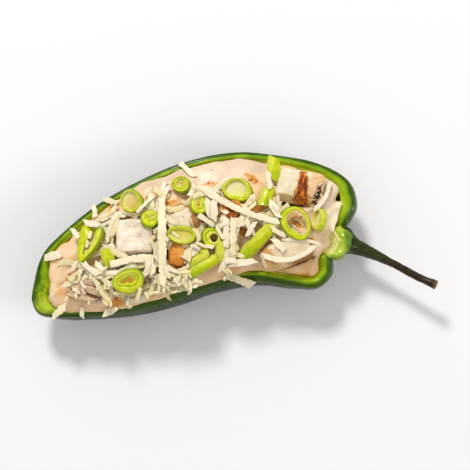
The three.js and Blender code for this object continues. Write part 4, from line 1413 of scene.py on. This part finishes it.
def line_through(middle, length, angle, bend, curl=0.0):
    """A middle line of a length and a direction, bowed by a share of its length."""
    arm = np.array([math.cos(angle), math.sin(angle)]) * length / 2
    return shreds.middle_line(middle - arm, middle + arm, bend * length, curl * length)


under_slices = [(*at, size[0] * 0.3, size[0] * 0.3) for _, at, size, *_ in RINGS]
under_slices += [(*at, size[0] * 0.36, size[0] * 0.36) for _, at, size, *_ in STRIPS]
laid = 0
for _ in range(6000):
    if laid == LOWER_SHREDS:
        break
    middle = np.array([dice.triangular(-58, 62, 5), dice.uniform(-26, 26)])
    length, angle = dice.triangular(6, 32, 13), dice.uniform(0, math.pi)
    line = line_through(middle, length, angle, dice.gauss(0, 0.08), dice.gauss(0, 0.025))
    if far_from_edge(line, 5.5) and is_clear_of(line, CLEAR + under_slices):
        wide, thick = dice.uniform(1.4, 3.0), dice.uniform(0.75, 1.0)
        laid += shreds.lay(line, wide, thick, twist=dice.uniform(0, 0.25), sink=0.6)
print("shreds in the lower layer:", laid)

# %% [markdown]
# ## Scallions
#
# A slice of scallion is a stack of leaf layers inside one another. The outer layer is a firm lime-green
# band with a greener skin on its side. Inside it there are thin pale layers, and a dark hollow where the
# leaf was open. Slices cut at a slant are long ovals. Each one takes its tilt from its solid in the frame,
# and then settles by a few millimetres at most on the shreds under it.


# %% Laying a slice
def slice_frame(name, at, turn, from_top=None):
    """The place and the axes of a slice, read from its solid: along, across and up."""
    solid = nodes[name].data
    if from_top is None:
        up = max(solid.polygons, key=lambda face: face.area * face.normal.z).normal.copy()
    else:
        upper_faces = [face for face in solid.polygons if face.normal.z > 0.3]
        up = sum((face.normal * face.area for face in upper_faces), Vector()).normalized()
    heights = [up.dot(v.co) / MM for v in solid.vertices]
    level = (max(heights) + min(heights)) / 2 if from_top is None else max(heights) - from_top
    z = (level - up.x * at[0] - up.y * at[1]) / up.z
    along = Vector((math.cos(math.radians(turn)), math.sin(math.radians(turn)), 0))
    along = (along - up * along.dot(up)).normalized()
    return np.array([at[0], at[1], z]), np.array([along, up.cross(along), up])


def settle(places):
    """How far a slice must move up or down to lie on the ground, pressed in a little."""
    low = places[places[:, 2] < np.median(places[:, 2])]
    need = np.percentile(ground.at(low[:, :2]) - low[:, 2], 90) - 0.25
    return float(min(np.clip(need, -1.5, 2.5), CEILING - places[:, 2].max()))


scallion_finish = Finish("scallion_leaf", {
    "Specular IOR Level": 0.3, "Coat Weight": 0.22, "Coat Roughness": 0.12,
    "Subsurface Weight": 0.35, "Subsurface Scale": 0.0015,
})


def lay_slice(name, kind, placed_by, points, faces, traits):
    """Puts a slice where its frame says, lets it settle, and raises the ground to it."""
    middle, axes = placed_by
    places = points @ axes + middle
    places[:, 2] += settle(places)
    piece = make_piece(f"{name}_{kind}", places, faces, traits, scallion_finish.material)
    ground.lay_piece(piece)
    return place_piece(piece, "scallion", name)


print("tilt of the first ring:", slice_frame(*RINGS[0][:2], 0)[1][2].round(2))

# %% [markdown]
# A ring could be a torus, but a knife-cut band has an almost square section, and no two sides of it are
# equally wide. So each layer is a closed profile that runs round an uneven oval. Some hollows are spanned
# by a thin wet film, amber or white, and one slice has an end folded down into the cream.

# %% Ring shapes
AROUND = 72  # points round a slice
# The film that spans a hollow: how deep it lies, how amber and how white it is.
FILMS = {
    "scallion_ring_01": (1.3, 0.4, 0.9), "scallion_ring_02": (1.2, 0.5, 0.3),
    "scallion_ring_03": (0.7, 0.4, 0.4), "scallion_ring_04": (0.9, 0.8, 0.2),
    "scallion_ring_05": (1.5, 0.0, 1), "scallion_ring_06": (1.2, 0.3, 0.35),
    "scallion_ring_08": (1.9, 0.1, 0.8), "scallion_ring_09": (0.7, 0.9, 0),
    "scallion_ring_11": (1.0, 0.0, 0.8),
}
FOLDED = {"scallion_ring_08": 5.0}  # slices with one end folded down into the cream, and how deep it goes


class RingSlice:
    """A slice of scallion, built from rows of points that run round it."""

    def __init__(self, name, size, turn, widest, seed):
        rng = np.random.default_rng(seed)
        a = np.arange(AROUND) * 2 * math.pi / AROUND
        self.angles = a
        self.long, self.short, self.tall = size
        self.wave = 0.04 * np.sin(2 * a + rng.uniform(0, 6)) + 0.03 * np.sin(3 * a + rng.uniform(0, 6))
        self.lopsided = np.cos(a - math.radians(widest - turn))
        self.uneven = 1 + 0.34 * self.lopsided + 0.1 * np.sin(3 * a + rng.uniform(0, 6))
        self.tip = 0.12 * np.sin(2 * a + rng.uniform(0, 6)) + 0.1 * np.sin(5 * a + rng.uniform(0, 6))
        self.folded = FOLDED.get(name, 0)
        self.spread = 1 + 0.072 * self.folded * np.cos(a)
        self.fold_end = np.minimum(hump(a, 0, 0.5) + hump(a, 2 * math.pi, 0.5), 1)
        self.points, self.faces = [], []
        self.traits = {"pale": [], "rind": [], "film": [], "amber": []}

    def add_row(self, inset, z, flare=1.0, out=1.0, **traits):
        """A row round the slice, inset from its outline and drawn in to a share of it, with its traits."""
        x = (self.long / 2 * (1 + self.wave) * flare - inset * self.uneven) * np.cos(self.angles) * out
        y = (self.short / 2 * (1 + self.wave) * flare - inset * self.uneven) * np.sin(self.angles) * out
        x -= 0.5 * self.folded * self.fold_end * out
        self.points.append(np.stack([x, y * self.spread, z - self.folded * self.fold_end * out], 1))
        for trait, rows in self.traits.items():
            rows.append(np.broadcast_to(traits.get(trait, 0.0), AROUND))

    def add_layer(self, outer, inner, below, paleness):
        """One leaf layer, from its outer to its inner inset, with its top a little below the slice's."""
        top, bottom = self.tall / 2 - below, -self.tall / 2
        soft = min(0.5, (inner - outer) * 0.42)
        profile = [
            (outer, bottom + soft), (outer, 0), (outer, top - soft), (outer + soft * 0.3, top - soft * 0.3),
            (outer + soft, top), ((outer + inner) / 2, top + 0.04), (inner - soft, top),
            (inner - soft * 0.3, top - soft * 0.3), (inner, top - soft), (inner, 0), (inner, bottom + soft),
            (inner - soft, bottom), (outer + soft, bottom),
        ]
        self.faces += ring_faces(len(profile), AROUND, len(self.points) * AROUND, closed=True)
        for k, (inset, z) in enumerate(profile):
            pale = paleness + 0.3 * (inset - outer) / (inner - outer) + 0.1 * np.sin(2 * self.angles + k)
            pale -= (0.1 + 0.35 * paleness) * self.lopsided
            skin_side = float(k <= 3) * (1 if outer == 0 else 0.4) * (1 - paleness)
            flare = 1 + 0.06 * (0.5 - (z + self.tall / 2) / self.tall)
            self.add_row(inset, z + self.tip * (z > 0), flare, pale=pale, rind=skin_side)

    def add_film(self, edge, deep, amber, white):
        """The film in the hollow: nine rows over its top, and four under it."""
        start = len(self.points) * AROUND
        outs = [*np.linspace(0.02, 1, 9), *np.linspace(1, 0.02, 4)]
        for row, out in enumerate(outs):
            below = deep + 0.3 * (1 - out**2) + 0.35 * (row > 8)
            limy = out * ramp(self.lopsided, -0.2, 0.7)
            self.add_row(
                edge, self.tall / 2 - below, out=out,
                pale=(0.5 + 0.5 * white) * (1 - 0.75 * limy),
                film=white * (1 - 0.8 * limy),
                amber=amber * ramp(1.2 - out + 0.35 * self.lopsided, 0.05, 0.6),
            )
        last = start + (len(outs) - 1) * AROUND
        self.faces += ring_faces(len(outs), AROUND, start)
        self.faces += [tuple(range(start, start + AROUND)), tuple(range(last, last + AROUND))]


def ring_piece(name, at, size, turn, widest, layers, seed):
    """One ring with all its layers and its film, laid in place."""
    ring = RingSlice(name, size, turn, widest, seed)
    for layer in layers:
        ring.add_layer(*layer)
    if name in FILMS:
        ring.add_film(layers[-1][1] - 0.15, *FILMS[name])
    traits = {trait: np.clip(np.concatenate(rows), 0, 1) for trait, rows in ring.traits.items()}
    points = np.concatenate(ring.points)
    return lay_slice(name, "slice", slice_frame(name, at, turn), points, ring.faces, traits)


slices = [ring_piece(*ring, seed) for seed, ring in enumerate(RINGS)]

# %% [markdown]
# Wider pieces of leaf lie flat as bowed strips with slanted ends. A plane with thickness would do for the
# shape, but as its own grid each point also knows how far along and across the leaf it is, which its
# colours need. One strip has two paler leaves hanging from it.

# %% Strips of leaf
# Paler leaves that hang from a strip: place and turn in the strip's own axes, size and slant.
FLAPS = {"scallion_strip_2": [((9.4, 1.8), 59, (8.8, 5.6), 0.1), ((-0.4, 4.3), 4, (10, 5), 0.4)]}


def leaf_skin(long, wide, bias, rng):
    """A bowed strip of leaf: its points, faces, and how pale and how olive each point is."""
    length, width, thick = 48, 18, 0.55
    along, across = np.meshgrid(np.linspace(-1, 1, length), np.linspace(-1, 1, width), indexing="ij")
    narrow = 1 - 0.12 * along**2 - 0.22 * along**10 + 0.04 * np.sin(4 * along + rng.uniform(0, 6))
    y = across * wide / 2 * narrow
    x = along * long / 2 + bias * y
    bow = 0.8 - 1.2 * (2 * y / wide) ** 2 + 0.25 * np.sin(2.4 * along + rng.uniform(0, 6))
    rib = 0.04 * np.cos(across * 9) * (1 - across**2)
    upper = np.stack([x, y, bow + rib], -1).reshape(-1, 3)
    lower = np.stack([x, y * 0.94, bow - thick], -1).reshape(-1, 3)
    faces, count = [], length * width
    for i in range(length - 1):
        for j in range(width - 1):
            p = i * width + j
            faces.append((p, p + width, p + width + 1, p + 1))
            faces.append(tuple(count + q for q in (p, p + 1, p + width + 1, p + width)))
    border = [i * width for i in range(length)] + [(length - 1) * width + j for j in range(1, width)]
    border += [i * width + width - 1 for i in reversed(range(length - 1))]
    border += list(reversed(range(1, width - 1)))
    for p, q in zip(border, border[1:] + border[:1]):
        faces.append((p, q, count + q, count + p))
    edge = np.maximum(np.abs(across) ** 6, np.abs(along) ** 20 * 0.9).ravel()
    half = ramp(across + 0.25 * np.sin(2 * along), 0.1, 0.35).ravel() * 0.42
    pale = np.concatenate([np.maximum(edge * 0.7, half), np.full(count, 0.8)])
    olive = np.tile(0.1 + 0.6 * ramp(-along - 0.5 * across, -0.4, 1.1).ravel(), 2)
    return np.concatenate([upper, lower]), faces, pale, olive


def strip_piece(name, at, size, turn, bias, seed):
    """One strip of leaf with the flaps that hang from it, laid in place."""
    rng = np.random.default_rng(seed)
    points, faces, pale, olive = leaf_skin(*size, bias, rng)
    for (x, y), flap_turn, flap_size, flap_bias in FLAPS.get(name, []):
        c, s = math.cos(math.radians(flap_turn)), math.sin(math.radians(flap_turn))
        flap, flap_faces, flap_pale, flap_olive = leaf_skin(*flap_size, flap_bias, rng)
        flap = flap @ np.array([[c, s, 0], [-s, c, 0], [0, 0, 1]]) + [x, y, 0.3]
        faces += [tuple(len(points) + i for i in face) for face in flap_faces]
        points, pale = np.concatenate([points, flap]), np.concatenate([pale, np.maximum(flap_pale, 0.5)])
        olive = np.concatenate([olive, 0.3 * flap_olive])
    placed_by = slice_frame(name, at, turn, from_top=0.8)
    return lay_slice(name, "leaf", placed_by, points, faces, {"pale": pale, "rind": olive})


slices += [strip_piece(*strip, 20 + seed) for seed, strip in enumerate(STRIPS)]
print("slices of scallion:", len(slices))

# %% [markdown]
# Scallion leaf is a sharp yellow-green where it is thick, pale towards its middle, and deeper green on its
# skin side. It is wet, so it has a thin clear coat over the soft colour.

# %% Finish of the scallions
f = scallion_finish
mottle = f.noise(2.4, 3)
lime = f.dapple(mottle, paint(172, 187, 2), paint(206, 214, 6))
pale_layer = f.dapple(mottle, paint(212, 214, 84), paint(232, 230, 138))
leaf = f.mix(f.trait("pale"), lime, pale_layer)
leaf = f.mix(f.trait("film"), leaf, paint(226, 220, 170))
leaf = f.mix(f.trait("amber"), leaf, paint(196, 136, 40))
f.feed("Base Color", f.mix(f.times(f.trait("rind"), 0.65), leaf, paint(120, 152, 4)))
f.feed("Roughness", f.between(mottle, 0.3, 0.7, 0.22, 0.4))
f.bump(f.noise(0.5, 3), 0.08)
print("scallions finished")

# %% [markdown]
# ## The upper layer of cheese
#
# The shreds that catch the eye are laid one by one: the long straight one across the middle, the long bowed
# one on the right, the ones that hang over the edge of the cut. Each is only a start, an end, a width and a
# bend; the draping does the rest. Those in ON_TOP lie over everything, so they wait until the loose ones
# are down.

# %% Shreds laid one by one
# Each is start, end, width and bend to the side, in millimetres.
PLACED = [
    ((-64.5, 1.9), (-56.3, 2.1), 3.6, 0), ((-47.3, -4.2), (-43.8, -11), 3, 0),
    ((-35.6, -7.8), (-15.5, -9.4), 3.2, 1), ((-3.6, -12.1), (4.6, -8.1), 3.8, 0),
    ((-66.9, -24.3), (-59.6, -20.9), 3, 0), ((-53.6, -27.8), (-53, -22.8), 1.8, 0),
    ((-44.2, -28), (-37.4, -26.8), 3, 0), ((-38.2, 20.4), (-38.3, 14.8), 2.4, 0.3),
    ((-48.9, 11.8), (-47, 7), 2.2, 0), ((-33.4, 22.2), (-27, 18.8), 2.4, 0),
    ((-13.6, -21.3), (-5.1, -22.6), 3.4, 0), ((3.9, 30.4), (8.8, 22.7), 2.6, 0),
    ((7.9, 16.9), (17.9, 14.2), 3, 0), ((12.4, 11.5), (11.6, 2.3), 3, 0), ((15.5, 11.6), (13.1, 1), 3, 0),
    ((41.1, 17.3), (40.4, 9.6), 2.6, 0), ((28.2, 4.5), (33.1, 8), 2.6, 0),
    ((38.8, 4.5), (41.5, -4), 2.6, 0), ((57.2, -3.8), (67, 6.9), 2.0, -1.6),
    ((30.8, -18.4), (54.1, -19.2), 2.4, -4), ((36.6, -12.4), (40.5, -18.5), 3, 0),
    ((18.6, 1.7), (15.8, -11.6), 3.2, 0), ((21.7, 0), (18.6, -11.3), 3, 0),
    ((13, -23.3), (23.8, -30.2), 3.5, 0), ((16, -19), (27.3, -20.2), 3.2, 0),
    ((-5.5, -20.2), (-5, -28.1), 1.5, 2), ((-11.7, -21.5), (-5.3, -26.7), 1.3, 4),
    ((17.4, 4.9), (19.9, 2.9), 2.2, 0), ((-6.2, 0.6), (-3.6, -2.6), 1.1, 0),
    ((-43, 13), (-36.8, 10.3), 2.8, 0), ((-40.9, 8.6), (-42.4, 5.6), 1.8, 0),
    ((-43, 4.8), (-44.4, 2), 1.5, 0), ((47.8, -5.4), (51, -9.4), 0.9, 0.7),
    ((46.2, -7.8), (48.8, -10.8), 0.8, 0), ((26.5, -1.6), (28.2, -8.6), 2.8, 0.4),
    ((30.8, -3.4), (25.4, -8.8), 2.2, 0), ((36.8, -7.6), (42.4, -12.6), 2.4, 0),
]
ON_TOP = [
    ((10.3, 17.3), (41.1, -5.9), 2.8, -2.2), ((-7.1, 16.4), (-15.2, -22), 3.6, 0),
    ((-46.8, -4.8), (-42.2, -11), 2.6, 0), ((-41.9, -5.7), (-39, -9.6), 2.4, 0),
    ((-52.4, -6), (-49.6, -2.8), 2.4, 0), ((-54.5, -14.4), (-51.8, -17), 1.5, 0.3),
    ((-53.4, -16.2), (-53.8, -18.8), 1.2, 0), ((-50.6, -15.4), (-49.4, -17.8), 1.3, 0),
]


def lay_each(placed):
    """Lays shreds of full thickness, pressed down where the heap is already high."""
    for start, end, wide, bend in placed:
        line = shreds.middle_line(start, end, bend)
        if not shreds.lay(line, wide, 1.05, twist=0.1, press=3.0, tone=0.6):
            print("no room for the shred at", start)


lay_each(PLACED)
print("shreds laid by hand:", len(PLACED) + len(ON_TOP))

# %% [markdown]
# Short loose shreds fill in between. The same dice go on from the lower layer, with shorter lengths and
# with the slices kept clear over nearly their whole width.

# %% Loose short shreds
SHORT_SHREDS = 45
slice_zones = [(*at, size[0] * 0.42, size[0] * 0.42) for _, at, size, *_ in RINGS + STRIPS]
laid = 0
for _ in range(4000):
    if laid == SHORT_SHREDS:
        break
    middle = np.array([dice.triangular(-56, 60, 0), dice.uniform(-25, 25)])
    length, angle = dice.triangular(3, 14, 6), dice.uniform(0, math.pi)
    line = line_through(middle, length, angle, dice.gauss(0, 0.1))
    if far_from_edge(line, 4.5) and is_clear_of(line, CLEAR + slice_zones):
        laid += shreds.lay(line, dice.uniform(1.3, 2.8), dice.uniform(0.7, 1.0), twist=dice.uniform(0, 0.4))
print("short shreds:", laid)

# %% [markdown]
# A grater also breaks some shreds into bits. Most of them collect at the tip and along the near edge, and
# the rest lie here and there. They are what makes the heap look grated and not cut.

# %% Broken bits
# Each is a middle, its spread, how many bits, and the places that they keep off.
BITS = [
    ((-47, -13), (7, 5), 12, slice_zones), ((-26, -24), (14, 3), 34, slice_zones),
    ((0, -22), (10, 4), 16, slice_zones), ((6, 4), (26, 12), 34, slice_zones + CLEAR),
]
for middle, spread, count, zones in BITS:
    for _ in range(count):
        at = np.array([dice.gauss(middle[0], spread[0]), dice.gauss(middle[1], spread[1])])
        angle, length = dice.uniform(0, math.pi), dice.uniform(1.4, 4.2)
        line = line_through(at, length, angle, dice.gauss(0, 0.1))
        if far_from_edge(line, 3.2) and is_clear_of(line, zones):
            shreds.lay(line, dice.uniform(0.8, 1.7), dice.uniform(0.6, 1.0), twist=0.5, sink=0.25)
lay_each(ON_TOP)
print("faces in the heap:", len(shreds.faces))

# %% [markdown]
# All the shreds become one mesh, with the tone of each as a trait. Edges sharper than 65 degrees stay
# crisp, so a shred keeps its cut ends while its sides are shaded smooth.

# %% Build the cheese
cheese_finish = Finish("white_cheese", {
    "Roughness": 0.42, "Specular IOR Level": 0.35, "Subsurface Weight": 0.25, "Subsurface Scale": 0.002,
    "Subsurface Radius": (0.75, 0.9, 1.0),
})
cheese = make_piece(
    "cheese_shreds",
    np.concatenate(shreds.points),
    shreds.faces,
    {"tone": np.concatenate(shreds.tone)},
    cheese_finish.material,
)
cheese.data.set_sharp_from_angle(angle=math.radians(65))
place_piece(cheese, "cheese", "shredded_cheese")

# %% [markdown]
# The cheese is white, with some shreds a little yellower than others. The tone of each shred decides, and
# fine noise keeps a single shred from being one flat colour.

# %% Finish of the cheese
f = cheese_finish
curd = f.noise(1.4, 3)
tone = f.plus(f.trait("tone"), f.between(curd, 0.3, 0.7, -0.25, 0.25))
white = f.mix(f.between(tone, 0.45, 1), paint(227, 219, 184), paint(230, 222, 204))
f.feed("Base Color", f.mix(f.between(tone, 0, 0.45), paint(226, 210, 160), white))
f.bump(curd, 0.12)
print("cheese finished")

# %% [markdown]
# ## Crumbs and specks
#
# Loose crumbs of the orange seasoning, charred specks and bits of browned meat lie where the cream shows
# between the shreds. Particles could scatter them, but dropping each on the map of heights keeps them out
# of the shreds. Each is a small uneven lump of real size, all are one joined mesh, and a trait tells how
# dark each one is.


# %% Crumbs
class Crumbs:
    """Collects crumbs into one mesh as they are dropped on the ground."""

    def __init__(self):
        ball = bmesh.new()
        bmesh.ops.create_icosphere(ball, subdivisions=1, radius=1)
        ball.verts.ensure_lookup_table()
        self.ball = np.array([v.co[:] for v in ball.verts])
        self.ball_faces = [[v.index for v in face.verts] for face in ball.faces]
        ball.free()
        self.points, self.faces, self.dark = [], [], []

    def drop(self, at, size, dark, rng):
        """Sets one crumb on the ground, unless a shred or a slice already covers the place."""
        at = np.array(at)
        if ground.at(at) - bare[ground.cells(at)] > 0.4 or bare[ground.cells(at)] < RIM_HEIGHT:
            return
        lump = self.ball * (1 + 0.35 * rng.normal(size=(len(self.ball), 1))) * size / 2
        angle = rng.uniform(0, math.pi)
        c, s = math.cos(angle), math.sin(angle)
        lump = lump @ np.array([[c, s, 0], [-s, c, 0], [0, 0, 1]])
        place = np.array([*at, min(ground.at(at) + 0.15 * size[2], CEILING)])
        self.faces += [[len(self.points) * len(self.ball) + i for i in face] for face in self.ball_faces]
        self.points.append(lump + place)
        self.dark.append(np.full(len(self.ball), dark))


crumbs = Crumbs()
print("points on a crumb:", len(crumbs.ball))

# %% [markdown]
# Most crumbs lie where seasoning has smeared the cream, some on the chicken, and small single ones
# anywhere. Those on the smears are the largest and the most orange.

# %% Scatter the crumbs
SINGLE_CRUMBS = 45
rng = np.random.default_rng(8)
for x, y, half_long, half_wide, _ in SMEARS:
    for _ in range(4):
        at = np.array([x, y]) + rng.normal(size=2) * [half_long * 0.45, half_wide * 0.6]
        size = rng.uniform(0.6, 1.9) * np.array([1, rng.uniform(0.5, 0.9), 0.5])
        if far_from_edge(np.array([at]), 5):
            crumbs.drop(at, size, rng.uniform(0, 0.5), rng)
for chunk in CHICKEN:
    low, high = (np.array(corner)[:2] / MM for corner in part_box(chunk.name))
    for _ in range(3):
        at = (low + high) / 2 + rng.normal(size=2) * (high - low) * 0.36
        size = rng.uniform(0.4, 1.2) * np.array([1, rng.uniform(0.5, 0.9), 0.5])
        crumbs.drop(at, size, rng.uniform(0.4, 1), rng)
for _ in range(SINGLE_CRUMBS):
    at = [rng.uniform(-58, 62), rng.uniform(-26, 24)]
    if far_from_edge(np.array([at]), 6):
        crumbs.drop(at, rng.uniform(0.3, 0.75) * np.array([1, 0.8, 0.5]), rng.uniform(0.3, 1), rng)
crumb_finish = Finish("seasoning_crumbs", {"Roughness": 0.45, "Specular IOR Level": 0.35})
crumb_piece = make_piece(
    "seasoning_crumbs",
    np.concatenate(crumbs.points),
    crumbs.faces,
    {"dark": np.concatenate(crumbs.dark)},
    crumb_finish.material,
)
place_piece(crumb_piece, "filling")

# %% [markdown]
# A crumb is orange, rust or black by its trait, with a little noise so that no two look the same.

# %% Finish of the crumbs
f = crumb_finish
grit = f.between(f.noise(0.6, 2), 0.3, 0.7, -0.15, 0.15)
shade = f.plus(f.trait("dark"), grit)
crumb_colour = f.mix(f.between(shade, 0, 0.5), paint(228, 150, 52), paint(170, 92, 18))
f.feed("Base Color", f.mix(f.between(shade, 0.5, 0.9), crumb_colour, paint(44, 24, 10)))
print("crumbs:", len(crumbs.points))
